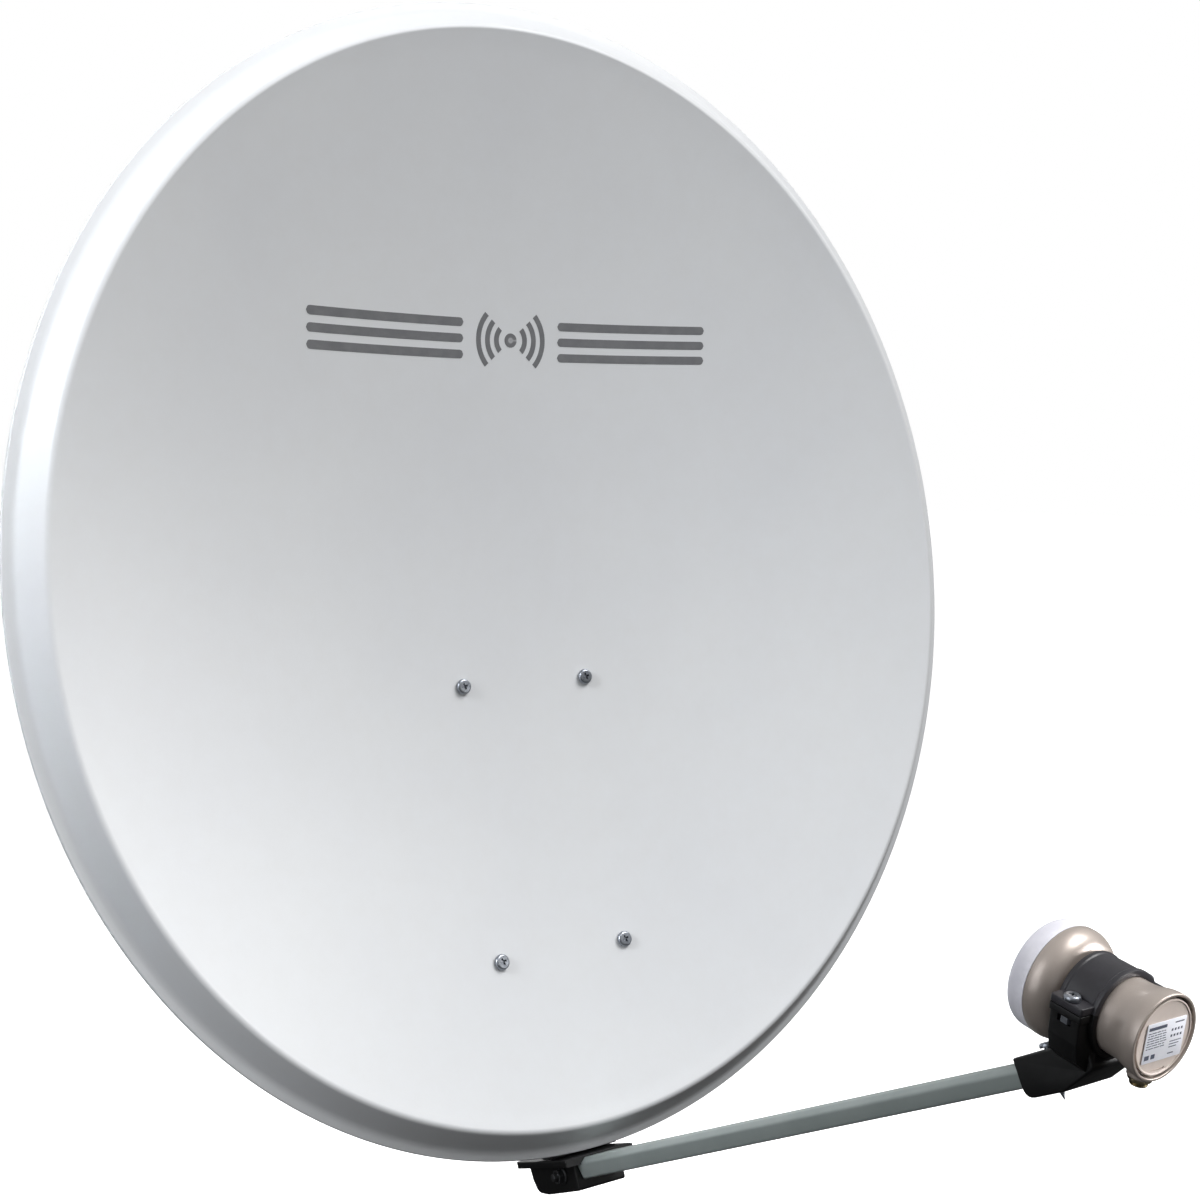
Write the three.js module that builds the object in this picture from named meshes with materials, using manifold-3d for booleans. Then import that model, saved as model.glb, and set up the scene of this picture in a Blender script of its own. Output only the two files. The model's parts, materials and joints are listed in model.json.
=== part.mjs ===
// Offset satellite dish on a mast clamp, in millimetres, +Z up, dish looking along -Y.
// The origin is on the mast's axis, at the middle height of the mast clamp.
import * as THREE from 'three';
import { mergeVertices } from 'three/addons/utils/BufferGeometryUtils.js';
import Module from 'manifold-3d';

const wasm = await Module();
wasm.setup();

// ---------------------------------------------------------------- driving dimensions
const GAP = 0.3;                         // clearance between touching pieces
const HOLE_6 = 3.4;                      // radii of the holes for 6, 8 and 10 mm bolts
const HOLE_8 = 4.4;
const HOLE_10 = 5.4;
const RIM_CENTRE = [0, -168, 190];       // centre of the aperture, in the part frame
const RIM_TILT = 7.5;                    // degrees that the rim plane leans back

// Reflector: part of a paraboloid whose aperture is an ellipse
const HALF_WIDTH = 375;
const HALF_HEIGHT = 407;
const BEAM_ANGLE = 22.87;                // degrees from the rim's normal up to the beam
const BOWL_DEPTH = 76.05;                // along the beam
const SHEET = 1.0;                       // reflector sheet
const FOLD_RADIUS = 4.5;                 // rounded edge of the aperture
const SKIRT_ANGLE = 47;                  // skirt behind the fold, degrees from the rim plane
const SKIRT_OUT = 17.5;                  // where the skirt ends, outwards from the aperture
const SKIRT_BACK = 17.5;
const LIP_OUT = 24.2;                    // flat lip outside the skirt
const LIP_BACK = 19.0;
const HEM_OUT = 25.0;
const HEM_BACK = 21.5;

// Four screws that hold the reflector
const SCREW_U = 54.9;
const SCREW_V = [-52.7, -270.3];
const SCREW_SHANK = 2.9;
const SCREW_HOLE = 3.3;
const SEAT_GAP = 0.9;                    // from the true surface to the head, clear of the facets

// Back frame: a U channel with two wings
const STANDOFF = 14;                     // from reflector to back frame
const STEEL = 2.5;
const CHANNEL_HALF = 30;
const CHANNEL_DEEP = 24;
const CHANNEL_TOP = 120;
const CHANNEL_BOTTOM = -252.5;
const WING_HALF = 72;
const WING_HEIGHT = 34;

// Elevation joint, in the part frame
const PIVOT = [-80, 24];                 // y, z
const LOCK_RADIUS = 42;
const ELEVATION_DOWN = 20;               // degrees of travel below the rest position
const ELEVATION_UP = 25;
const EAR_THICK = 3;
const WALL_THICK = 2.5;

// Mast clamp
const MAST_RADIUS = 25;                  // nominal mast that the clamp is drawn round
const WEB_Y = -50;
const CLAMP_HALF_HEIGHT = 50;
const CLAMP_BOLT_X = 47;
const CLAMP_BOLT_Z = 32;
const JAW_FLAT_Y = 12;
const JAW_THICK = 4;
const JAW_HEIGHT = 30;

// Feed arm: origin under the aperture's lower end
const ARM_ANGLE = 18.3;                  // degrees up from the rim's normal
const ARM_ROOT = [0, -440, 0];
const ARM_START = -60;
const ARM_END = 481;
const ARM_WALL = 1.5;

// Feed (LNB), along its own axis; 0 is its rear face, minus is towards the reflector
const LNB_ANGLE = 18.1;                  // degrees down from the rim's normal
const LNB_REAR = [0, -264.6, 512.6];
const NECK_RADIUS = 20.3;
const RING_INNER = 20.7;
const RING_OUTER = 23.4;
const RING_FRONT = -47.5;
const RING_BACK = -24;
const EAR_U = 27.2;                      // strap screws, either side of the axis
const EAR_MARGIN = 4.2;                  // from a screw to the end of its ear
const EAR_HALF_DEPTH = 10;
const EAR_THICK_UP = 4;                  // strap's ear above the split
const EAR_THICK_DOWN = 4;                // holder's ear, above the slot for the nut
const SPLIT = 4.2;                       // height of the split between strap and holder
const STRAP_RIDGE = 0.6;                 // raised edges of the strap
const NUT_HEIGHT = 3.2;
const SOCKET_Z = -9.5;                   // coaxial socket, along the feed's axis

// ---------------------------------------------------------------- materials
function paint(color, roughness, metalness) {
  return new THREE.MeshStandardMaterial({ color, roughness, metalness });
}
const dishPaint = paint(0xd2d4d6, 0.38, 0.2);
const galvanised = paint(0xa9adb0, 0.5, 0.8);
const zinc = paint(0xc2c5c8, 0.3, 0.95);
const armPaint = paint(0x7d8483, 0.45, 0.3);
const blackPlastic = paint(0x1b1b1d, 0.6, 0.0);
const blackSteel = paint(0x202123, 0.45, 0.5);
const champagne = paint(0xa79f98, 0.42, 0.35);
const whiteCap = paint(0xe9e7ee, 0.5, 0.0);
const labelPaper = paint(0xe6e6f0, 0.5, 0.0);
const dieCast = paint(0x9a9c9e, 0.5, 0.7);
const boardGreen = paint(0x2f6b3a, 0.5, 0.0);
const brass = paint(0xb79a55, 0.35, 0.8);

// ---------------------------------------------------------------- solids
const radians = THREE.MathUtils.degToRad;

function signedVolume(position, index) {
  const a = new THREE.Vector3();
  const b = new THREE.Vector3();
  const c = new THREE.Vector3();
  let sum = 0;
  for (let i = 0; i < index.length; i += 3) {
    a.fromBufferAttribute(position, index[i]);
    b.fromBufferAttribute(position, index[i + 1]);
    c.fromBufferAttribute(position, index[i + 2]);
    sum += a.dot(b.cross(c));
  }
  return sum / 6;
}

// A closed three.js geometry as a manifold solid, turned outwards if it faces in.
function solid(geometry) {
  const bare = geometry.clone();
  bare.deleteAttribute('normal');
  bare.deleteAttribute('uv');
  const merged = mergeVertices(bare, 1e-4);
  const position = merged.getAttribute('position');
  const source = merged.getIndex().array;
  const kept = [];
  for (let i = 0; i < source.length; i += 3) {
    const [a, b, c] = [source[i], source[i + 1], source[i + 2]];
    if (a !== b && b !== c && c !== a) kept.push(a, b, c);
  }
  if (signedVolume(position, kept) < 0) kept.reverse();
  return new wasm.Manifold(new wasm.Mesh({
    numProp: 3,
    vertProperties: new Float32Array(position.array),
    triVerts: new Uint32Array(kept),
  }));
}

function geometryOf(body) {
  const mesh = body.getMesh();
  const geometry = new THREE.BufferGeometry();
  geometry.setAttribute('position', new THREE.BufferAttribute(mesh.vertProperties, 3));
  geometry.setIndex(new THREE.BufferAttribute(mesh.triVerts, 1));
  geometry.computeVertexNormals();
  return geometry;
}

function box(width, depth, height, x = 0, y = 0, z = 0) {
  return solid(new THREE.BoxGeometry(width, depth, height).translate(x, y, z));
}

// A cylinder or cone along Z from z0 to z1.
function rod(radius, z0, z1, sides = 16, endRadius = radius) {
  const geometry = new THREE.CylinderGeometry(endRadius, radius, z1 - z0, sides);
  geometry.rotateX(Math.PI / 2);
  geometry.translate(0, 0, (z0 + z1) / 2);
  return solid(geometry);
}

// The same, along X.
function rodX(radius, x0, x1, y = 0, z = 0, sides = 16) {
  const geometry = new THREE.CylinderGeometry(radius, radius, x1 - x0, sides);
  geometry.rotateZ(-Math.PI / 2);
  geometry.translate((x0 + x1) / 2, y, z);
  return solid(geometry);
}

// The same, along Y.
function rodY(radius, y0, y1, x = 0, z = 0, sides = 16) {
  const geometry = new THREE.CylinderGeometry(radius, radius, y1 - y0, sides);
  geometry.translate(x, (y0 + y1) / 2, z);
  return solid(geometry);
}

// A closed profile of [radius, z] points turned about Z.
function turned(profile, segments = 32) {
  const points = profile.map(([r, z]) => new THREE.Vector2(r, z));
  return solid(new THREE.LatheGeometry(points, segments).rotateX(Math.PI / 2));
}

function outline(points) {
  return new THREE.Shape(points.map(([x, y]) => new THREE.Vector2(x, y)));
}

function extruded(shape, depth, bevel = 0, curveSegments = 8) {
  return new THREE.ExtrudeGeometry(shape, {
    depth,
    curveSegments,
    bevelEnabled: bevel > 0,
    bevelThickness: bevel,
    bevelSize: bevel,
    bevelOffset: -bevel,
    bevelSegments: 2,
  });
}

// A plate in the YZ plane between x0 and x1, from a shape drawn in (y, z).
function plateX(shape, x0, x1, bevel = 0) {
  const geometry = extruded(shape, x1 - x0 - 2 * bevel, bevel);
  const turn = new THREE.Matrix4().makeBasis(
    new THREE.Vector3(0, 1, 0), new THREE.Vector3(0, 0, 1), new THREE.Vector3(1, 0, 0));
  geometry.applyMatrix4(turn);
  geometry.translate(x0 + bevel, 0, 0);
  return solid(geometry);
}

// A plate in the XY plane between z0 and z1, from a shape drawn in (x, y).
function plateZ(shape, z0, z1) {
  return solid(extruded(shape, z1 - z0).translate(0, 0, z0));
}

// The convex outline round a set of circles [x, y, radius].
function roundedHull(circles, steps = 16) {
  const cloud = [];
  for (const [x, y, r] of circles) {
    for (let i = 0; i < steps; i += 1) {
      const angle = (i / steps) * 2 * Math.PI;
      cloud.push([x + r * Math.cos(angle), y + r * Math.sin(angle)]);
    }
  }
  cloud.sort((p, q) => p[0] - q[0] || p[1] - q[1]);
  const turn = (o, a, b) => (a[0] - o[0]) * (b[1] - o[1]) - (a[1] - o[1]) * (b[0] - o[0]);
  const half = (list) => {
    const chain = [];
    for (const p of list) {
      while (chain.length > 1 && turn(chain.at(-2), chain.at(-1), p) < 1e-6) chain.pop();
      chain.push(p);
    }
    chain.pop();
    return chain;
  };
  return outline([...half(cloud), ...half([...cloud].reverse())]);
}

// ---------------------------------------------------------------- frames
const dish = new THREE.Group();
dish.name = 'satellite_dish';

// A child frame given by its origin and its X and Y axes in the parent's frame.
function frame(parent, origin, xAxis, yAxis) {
  const x = new THREE.Vector3(...xAxis).normalize();
  const y = new THREE.Vector3(...yAxis).normalize();
  const z = new THREE.Vector3().crossVectors(x, y);
  const group = new THREE.Group();
  group.quaternion.setFromRotationMatrix(new THREE.Matrix4().makeBasis(x, y, z));
  group.position.set(...origin);
  parent.add(group);
  group.updateWorldMatrix(true, false);
  return group;
}

function add(group, name, body, material) {
  const mesh = new THREE.Mesh(geometryOf(body), material);
  mesh.name = name;
  group.add(mesh);
}

// A solid drawn in one frame, seen from another.
function moved(body, from, to) {
  const matrix = to.matrixWorld.clone().invert().multiply(from.matrixWorld);
  return solid(geometryOf(body).applyMatrix4(matrix));
}

const tilt = radians(RIM_TILT);
// Aperture frame: X as the part's, Y up in the rim plane, Z square to it towards the feed
const aperture = frame(dish, RIM_CENTRE, [1, 0, 0], [0, Math.sin(tilt), Math.cos(tilt)]);

// ---------------------------------------------------------------- reflector
const beamSin = Math.sin(radians(BEAM_ANGLE));
const beamCos = Math.cos(radians(BEAM_ANGLE));

// Point of the front surface below the point (u, v) of the aperture, looking along the beam.
function bowlPoint(u, v) {
  const depth = (1 - (u / HALF_WIDTH) ** 2 - (v / HALF_HEIGHT) ** 2) * BOWL_DEPTH;
  return new THREE.Vector3(u, v - depth * beamSin, -depth * beamCos);
}

function bowlNormal(u, v) {
  const step = 0.5;
  const across = bowlPoint(u + step, v).sub(bowlPoint(u - step, v));
  const along = bowlPoint(u, v + step).sub(bowlPoint(u, v - step));
  return across.cross(along).normalize();
}

// Rim section outside the aperture: [outwards, backwards] with the outward normal of each point.
function rimSection() {
  const points = [];
  const start = 20;
  for (let i = 0; i <= 3; i += 1) {
    const angle = radians(-start + (SKIRT_ANGLE + start) * (i / 3));
    points.push({
      out: FOLD_RADIUS * Math.sin(angle),
      back: FOLD_RADIUS * (1 - Math.cos(angle)),
      normal: [Math.sin(angle), -Math.cos(angle)],
    });
  }
  const skirt = radians(SKIRT_ANGLE);
  const lip = Math.atan2(LIP_BACK - SKIRT_BACK, LIP_OUT - SKIRT_OUT);
  const bend = (skirt + lip) / 2;
  points.push({ out: SKIRT_OUT, back: SKIRT_BACK, normal: [Math.sin(bend), -Math.cos(bend)] });
  points.push({ out: LIP_OUT - 0.7, back: LIP_BACK - 0.1, normal: [Math.sin(lip), -Math.cos(lip)] });
  points.push({ out: HEM_OUT, back: LIP_BACK + 0.9, normal: [0.94, -0.34] });
  points.push({ out: HEM_OUT, back: HEM_BACK, normal: [1, 0] });
  return points;
}

function reflectorGeometry(segments = 64) {
  const rings = [0, 0.2, 0.38, 0.55, 0.71, 0.86];
  const rim = rimSection();
  const front = [
    ...rings.map((ratio) => ({ ratio, skin: 0 })),
    ...rim.map((point) => ({ ...point, skin: 0 })),
  ];
  const back = front.map((point) => ({ ...point, skin: SHEET })).reverse();
  const profile = [...front, ...back];
  // The lathe only makes the net; each of its points is then set on the real surface.
  const net = profile.map((point, i) => new THREE.Vector2(point.ratio === 0 ? 0 : 1 + i, i));
  const geometry = new THREE.LatheGeometry(net, segments);
  const position = geometry.getAttribute('position');
  for (let i = 0; i < position.count; i += 1) {
    const point = profile[i % profile.length];
    const angle = ((Math.floor(i / profile.length) % segments) / segments) * 2 * Math.PI;
    const place = point.ratio === undefined ? rimPoint(point, angle) : bowlAt(point, angle);
    position.setXYZ(i, place.x, place.y, place.z);
  }
  return geometry;
}

function bowlAt({ ratio, skin }, angle) {
  const u = ratio * HALF_WIDTH * Math.cos(angle);
  const v = ratio * HALF_HEIGHT * Math.sin(angle);
  return bowlPoint(u, v).addScaledVector(bowlNormal(u, v), -skin);
}

function rimPoint({ out, back, normal, skin }, angle) {
  const edge = new THREE.Vector2(HALF_WIDTH * Math.cos(angle), HALF_HEIGHT * Math.sin(angle));
  const outward = new THREE.Vector2(Math.cos(angle) / HALF_WIDTH, Math.sin(angle) / HALF_HEIGHT);
  outward.normalize();
  edge.addScaledVector(outward, out - normal[0] * skin);
  return new THREE.Vector3(edge.x, edge.y, -back + normal[1] * skin);
}

// Frames of the four screws: Z is the reflector's own normal there.
const screwSeats = [];
for (const v of SCREW_V) {
  for (const u of [-SCREW_U, SCREW_U]) {
    const point = bowlPoint(u, v);
    const normal = bowlNormal(u, v);
    const up = new THREE.Vector3().crossVectors(normal, new THREE.Vector3(1, 0, 0));
    const right = new THREE.Vector3().crossVectors(up, normal);
    screwSeats.push(frame(aperture, point.toArray(), right.toArray(), up.toArray()));
  }
}

function screwHoles(target) {
  const holes = screwSeats.map((seat) => moved(rod(SCREW_HOLE, -60, 20, 12), seat, target));
  return holes.reduce((all, hole) => all.add(hole));
}

add(aperture, 'reflector', solid(reflectorGeometry()).subtract(screwHoles(aperture)), dishPaint);

// ---------------------------------------------------------------- fasteners
// Hexagon nut with a round flange, from z = 0 up to its height, with its own bore.
function flangeNut(size, bore) {
  const flange = rod(size * 1.05, 0, size * 0.22, 14, size * 0.95);
  const hex = rod(size * 0.93, size * 0.2, size * 0.95, 6);
  return flange.add(hex).subtract(rod(bore, -1, size * 2, 12));
}

// Hexagon bolt with a flange: the head sits on z = 0 upwards, the shank goes down.
function flangeBolt(size, shank, length) {
  const flange = rod(size * 1.05, 0, size * 0.22, 14);
  const hex = rod(size * 0.93, size * 0.2, size * 0.8, 6);
  return flange.add(hex).add(rod(shank, -length, 0.1, 12));
}

// Pan head screw with a cross recess.
function panScrew(headRadius, headHeight, shank, length, point = 0) {
  const dome = [[0, 0], [headRadius, 0]];
  for (let i = 0; i <= 3; i += 1) {
    const angle = (i / 3) * (Math.PI / 2);
    dome.push([
      headRadius * (0.72 + 0.28 * Math.cos(angle)),
      headHeight * (0.25 + 0.75 * Math.sin(angle)),
    ]);
  }
  dome.push([0, headHeight]);
  const arm = headRadius * 0.95;
  const blade = headRadius * 0.24;
  const recess = box(arm, blade, headHeight, 0, 0, headHeight)
    .add(box(blade, arm, headHeight, 0, 0, headHeight));
  let body = turned(dome, 14).subtract(recess).add(rod(shank, point - length, 0.1, 10));
  if (point > 0) body = body.add(rod(shank * 0.25, -length, point - length + 0.05, 10, shank));
  return body;
}

// A body turned so that its Z axis runs along +X or -X, at (y, z).
function alongX(body, sign, x, y, z) {
  const geometry = geometryOf(body);
  geometry.rotateY(sign * Math.PI / 2);
  geometry.translate(x, y, z);
  return solid(geometry);
}

// ---------------------------------------------------------------- back frame
const upper = screwSeats[0].position.clone().setX(0);
const lower = screwSeats[2].position.clone().setX(0);
const middle = upper.clone().add(lower).multiplyScalar(0.5);
const chord = upper.clone().sub(lower).normalize();
const back = frame(aperture, middle.toArray(), [1, 0, 0], chord.toArray());
const seatY = upper.distanceTo(lower) / 2;

function backFrame() {
  const channel = outline([
    [-CHANNEL_HALF, -STANDOFF - CHANNEL_DEEP], [-CHANNEL_HALF, -STANDOFF],
    [CHANNEL_HALF, -STANDOFF], [CHANNEL_HALF, -STANDOFF - CHANNEL_DEEP],
    [CHANNEL_HALF - STEEL, -STANDOFF - CHANNEL_DEEP], [CHANNEL_HALF - STEEL, -STANDOFF - STEEL],
    [-CHANNEL_HALF + STEEL, -STANDOFF - STEEL], [-CHANNEL_HALF + STEEL, -STANDOFF - CHANNEL_DEEP],
  ]);
  // Drawn in (x, z) and pushed along Y
  const geometry = extruded(channel, CHANNEL_TOP - CHANNEL_BOTTOM);
  const turn = new THREE.Matrix4().makeBasis(
    new THREE.Vector3(1, 0, 0), new THREE.Vector3(0, 0, 1), new THREE.Vector3(0, -1, 0));
  geometry.applyMatrix4(turn);
  geometry.translate(0, CHANNEL_TOP, 0);
  let body = solid(geometry);
  for (const y of [seatY, -seatY]) {
    const wing = roundedHull([-1, 1].flatMap((side) => [
      [side * (WING_HALF - 8), WING_HEIGHT / 2 - 8, 8], [side * (WING_HALF - 8), 8 - WING_HEIGHT / 2, 8],
    ]));
    const plate = plateZ(wing, -STANDOFF - STEEL, -STANDOFF);
    body = body.add(plate.translate([0, y, 0]));
    // Folded edge that stiffens each wing
    for (const side of [-1, 1]) {
      const edge = box(2 * (WING_HALF - 16), STEEL, 8, 0, 0, -STANDOFF - 4);
      body = body.add(edge.translate([0, y + side * (WING_HEIGHT / 2 - STEEL / 2), 0]));
    }
  }
  // The folded edges stop at the channel's open side
  const inside = box(2 * (CHANNEL_HALF - STEEL), 600, 60, 0, 0, -STANDOFF - STEEL - 30);
  return body.subtract(inside).subtract(screwHoles(back));
}

const CARRIER_BOLT_Y = -232;
const CARRIER_BOLT_Z = -27;
const EAR_BOLT_Y = [72, -58];
const EAR_BOLT_Z = -STANDOFF - 12;

function crossHoles(radius, list) {
  return list.map(([y, z]) => rodX(radius, -60, 60, y, z, 14)).reduce((all, hole) => all.add(hole));
}

const earBolts = EAR_BOLT_Y.map((y) => [y, EAR_BOLT_Z]);
const carrierBolt = [CARRIER_BOLT_Y, CARRIER_BOLT_Z];
add(
  back,
  'back_frame',
  backFrame().subtract(crossHoles(HOLE_8, earBolts)).subtract(crossHoles(HOLE_6, [carrierBolt])),
  blackSteel,
);

// Screws, standoffs and nuts of the reflector
const seatNames = ['upper_left', 'upper_right', 'lower_left', 'lower_right'];
screwSeats.forEach((seat, i) => {
  const name = seatNames[i];
  add(seat, `reflector_screw_${name}`, panScrew(6, 3.6, SCREW_SHANK, 32).translate([0, 0, SEAT_GAP]), zinc);
  const side = i % 2 === 0 ? -1 : 1;
  const y = i < 2 ? seatY : -seatY;
  const column = rod(10, -STANDOFF + GAP, 6, 16, 9).translate([side * SCREW_U, y, 0]);
  const ahead = moved(box(60, 60, 40, 0, 0, 20 - SHEET - GAP), seat, back);
  const bore = moved(rod(SCREW_HOLE, -60, 20, 12), seat, back);
  add(back, `standoff_${name}`, column.subtract(ahead).subtract(bore), blackPlastic);
  // The nut lies behind the frame's plate, square to its screw
  const normal = new THREE.Vector3(0, 0, 1).applyQuaternion(seat.quaternion);
  const plateNormal = new THREE.Vector3(0, 0, 1).applyQuaternion(back.quaternion);
  const cosine = normal.dot(plateNormal);
  const reach = (STANDOFF + STEEL) / cosine + 8 * Math.tan(Math.acos(Math.min(1, cosine))) + GAP;
  const nut = geometryOf(flangeNut(6, SCREW_SHANK + GAP)).rotateX(Math.PI);
  add(seat, `reflector_nut_${name}`, solid(nut.translate(0, 0, -reach)), zinc);
});

// ---------------------------------------------------------------- elevation ears
const [pivotY, pivotZ] = PIVOT;
const lockPlace = [pivotY, pivotZ - LOCK_RADIUS];

function toPart(group, x, y, z) {
  return new THREE.Vector3(x, y, z).applyMatrix4(group.matrixWorld);
}

const earPlaces = earBolts.map(([y, z]) => {
  const place = toPart(back, 0, y, z);
  return [place.y, place.z];
});

function ear(x0, x1) {
  const shape = roundedHull([
    [...earPlaces[0], 11], [...earPlaces[1], 11], [...PIVOT, 12], [...lockPlace, 11],
  ]);
  return plateX(shape, x0, x1)
    .subtract(crossHoles(HOLE_8, [...earPlaces, lockPlace]))
    .subtract(crossHoles(HOLE_10, [PIVOT]));
}

const EAR_INNER = CHANNEL_HALF + GAP;
const EAR_OUTER = EAR_INNER + EAR_THICK;
const WALL_INNER = EAR_OUTER + GAP;
const WALL_OUTER = WALL_INNER + WALL_THICK;
add(dish, 'elevation_ear_left', ear(-EAR_OUTER, -EAR_INNER), galvanised);
add(dish, 'elevation_ear_right', ear(EAR_INNER, EAR_OUTER), galvanised);

// A bolt through from +X to -X with a nut on its end.
function throughBolt(group, name, size, shank, half, y, z, material) {
  const length = 2 * half + size + 3;
  add(group, `${name}_bolt`, alongX(flangeBolt(size, shank, length), 1, half, y, z), material);
  add(group, `${name}_nut`, alongX(flangeNut(size, shank + GAP), -1, -half, y, z), material);
}

const earNames = ['ear_upper', 'ear_lower'];
earPlaces.forEach(([y, z], i) => {
  throughBolt(dish, earNames[i], 8, 4, EAR_OUTER + GAP, y, z, zinc);
});
throughBolt(dish, 'elevation_lock', 8, 4, WALL_OUTER + GAP, ...lockPlace, zinc);
throughBolt(dish, 'elevation_pivot', 10, 5, WALL_OUTER + GAP, ...PIVOT, zinc);
const spacer = rodX(9, -CHANNEL_HALF, CHANNEL_HALF, ...PIVOT).subtract(crossHoles(HOLE_10, [PIVOT]));
add(dish, 'pivot_spacer', spacer, galvanised);

// ---------------------------------------------------------------- mast bracket
// Teeth along a line from p to q, standing out to the left of it.
function toothed(p, q, count, height) {
  const points = [];
  const dx = (q[0] - p[0]) / count;
  const dy = (q[1] - p[1]) / count;
  const length = Math.hypot(dx, dy);
  for (let i = 0; i < count; i += 1) {
    points.push([p[0] + dx * i, p[1] + dy * i]);
    points.push([
      p[0] + dx * (i + 0.5) - (dy / length) * height,
      p[1] + dy * (i + 0.5) + (dx / length) * height,
    ]);
  }
  points.push(q);
  return points;
}

const APEX = MAST_RADIUS / Math.sin(radians(60));   // from the mast's axis to the notch's corner
const V_SLOPE = Math.tan(radians(60));

function elevationWall(x0, x1) {
  const at = (degrees) => [
    pivotY + LOCK_RADIUS * Math.sin(radians(degrees)),
    pivotZ - LOCK_RADIUS * Math.cos(radians(degrees)),
  ];
  const shape = roundedHull([
    [...PIVOT, 14], [...at(-ELEVATION_UP), 12], [...at(ELEVATION_DOWN), 12],
    [WEB_Y - 3, CLAMP_HALF_HEIGHT - 3, 3], [WEB_Y - 3, 3 - CLAMP_HALF_HEIGHT, 3],
  ]);
  const slot = new THREE.Path();
  const half = 4.6;
  const from = radians(-90 - ELEVATION_UP - 1);
  const to = radians(-90 + ELEVATION_DOWN + 1);
  const end = (angle) => [
    pivotY + LOCK_RADIUS * Math.cos(angle), pivotZ + LOCK_RADIUS * Math.sin(angle),
  ];
  slot.absarc(pivotY, pivotZ, LOCK_RADIUS + half, from, to, false);
  slot.absarc(...end(to), half, to, to + Math.PI, false);
  slot.absarc(pivotY, pivotZ, LOCK_RADIUS - half, to, from, true);
  slot.absarc(...end(from), half, from + Math.PI, from + 2 * Math.PI, false);
  shape.holes.push(slot);
  return plateX(shape, x0, x1).subtract(crossHoles(HOLE_10, [PIVOT]));
}

function vFlange(z0, z1) {
  const mouth = (APEX - MAST_RADIUS * 0.5 - 4) * V_SLOPE;
  const tip = -APEX + mouth / V_SLOPE;
  const left = toothed([-mouth, tip], [0, -APEX], 5, -1.4);
  const right = toothed([0, -APEX], [mouth, tip], 5, -1.4);
  const shape = outline([
    [-WALL_OUTER, WEB_Y - 3], [-WALL_OUTER, tip], ...left, ...right.slice(1),
    [WALL_OUTER, tip], [WALL_OUTER, WEB_Y - 3],
  ]);
  return plateZ(shape, z0, z1);
}

const boltPlaces = [-1, 1].flatMap((x) => [-1, 1].map((z) => [x * CLAMP_BOLT_X, z * CLAMP_BOLT_Z]));

function mastBracket() {
  const corner = 6;
  const web = roundedHull([-1, 1].flatMap((x) => [-1, 1].map((z) => [
    x * (CLAMP_BOLT_X + 12 - corner), z * (CLAMP_HALF_HEIGHT - corner), corner,
  ])));
  const geometry = extruded(web, 3).rotateX(Math.PI / 2).translate(0, WEB_Y, 0);
  let body = solid(geometry);
  body = body.add(elevationWall(-WALL_OUTER, -WALL_INNER));
  body = body.add(elevationWall(WALL_INNER, WALL_OUTER));
  body = body.add(vFlange(CLAMP_HALF_HEIGHT - 3, CLAMP_HALF_HEIGHT));
  body = body.add(vFlange(-CLAMP_HALF_HEIGHT, 3 - CLAMP_HALF_HEIGHT));
  for (const [x, z] of boltPlaces) body = body.subtract(rodY(4.3, WEB_Y - 10, WEB_Y + 10, x, z));
  return body;
}
add(dish, 'mast_bracket', mastBracket(), galvanised);

// ---------------------------------------------------------------- jaws and their bolts
function jaw(z0) {
  const foot = (APEX - JAW_FLAT_Y) * V_SLOPE;
  const width = CLAMP_BOLT_X + 12;
  const wall = JAW_THICK / Math.sin(radians(60));
  const outer = (APEX + wall - JAW_FLAT_Y - JAW_THICK) * V_SLOPE;
  const left = toothed([-foot, JAW_FLAT_Y], [0, APEX], 5, 1.4);
  const right = toothed([0, APEX], [foot, JAW_FLAT_Y], 5, 1.4);
  const shape = outline([
    [-width, JAW_FLAT_Y], ...left, ...right.slice(1),
    [width, JAW_FLAT_Y], [width, JAW_FLAT_Y + JAW_THICK], [outer, JAW_FLAT_Y + JAW_THICK],
    [0, APEX + wall * 2], [-outer, JAW_FLAT_Y + JAW_THICK], [-width, JAW_FLAT_Y + JAW_THICK],
  ]);
  let body = plateZ(shape, z0, z0 + JAW_HEIGHT);
  const z = z0 + JAW_HEIGHT / 2;
  for (const x of [-CLAMP_BOLT_X, CLAMP_BOLT_X]) body = body.subtract(rodY(4.4, 0, 40, x, z));
  return body;
}
add(dish, 'clamp_jaw_upper', jaw(CLAMP_BOLT_Z - JAW_HEIGHT / 2), galvanised);
add(dish, 'clamp_jaw_lower', jaw(-CLAMP_BOLT_Z - JAW_HEIGHT / 2), galvanised);

const clampNames = ['lower_left', 'upper_left', 'lower_right', 'upper_right'];
boltPlaces.forEach(([x, z], i) => {
  const head = turned([[0, 0], [9.5, 0], [9, 1.6], [6.5, 3.2], [3, 4], [0, 4.2]], 16);
  const bolt = head.add(rod(4, -104, 0.1, 12));
  const place = (body, turn, y) => solid(geometryOf(body).rotateX(turn).translate(x, y, z));
  add(dish, `clamp_bolt_${clampNames[i]}`, place(bolt, Math.PI / 2, WEB_Y - 3 - GAP), zinc);
  const nut = place(flangeNut(8, 4 + GAP), -Math.PI / 2, JAW_FLAT_Y + JAW_THICK + GAP);
  add(dish, `clamp_nut_${clampNames[i]}`, nut, zinc);
});

// ---------------------------------------------------------------- feed arm and its housing
const armAngle = radians(ARM_ANGLE);
// X across, Y square to the arm upwards, Z along the arm towards the feed
const arm = frame(aperture, ARM_ROOT, [1, 0, 0], [0, Math.cos(armAngle), -Math.sin(armAngle)]);

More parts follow.
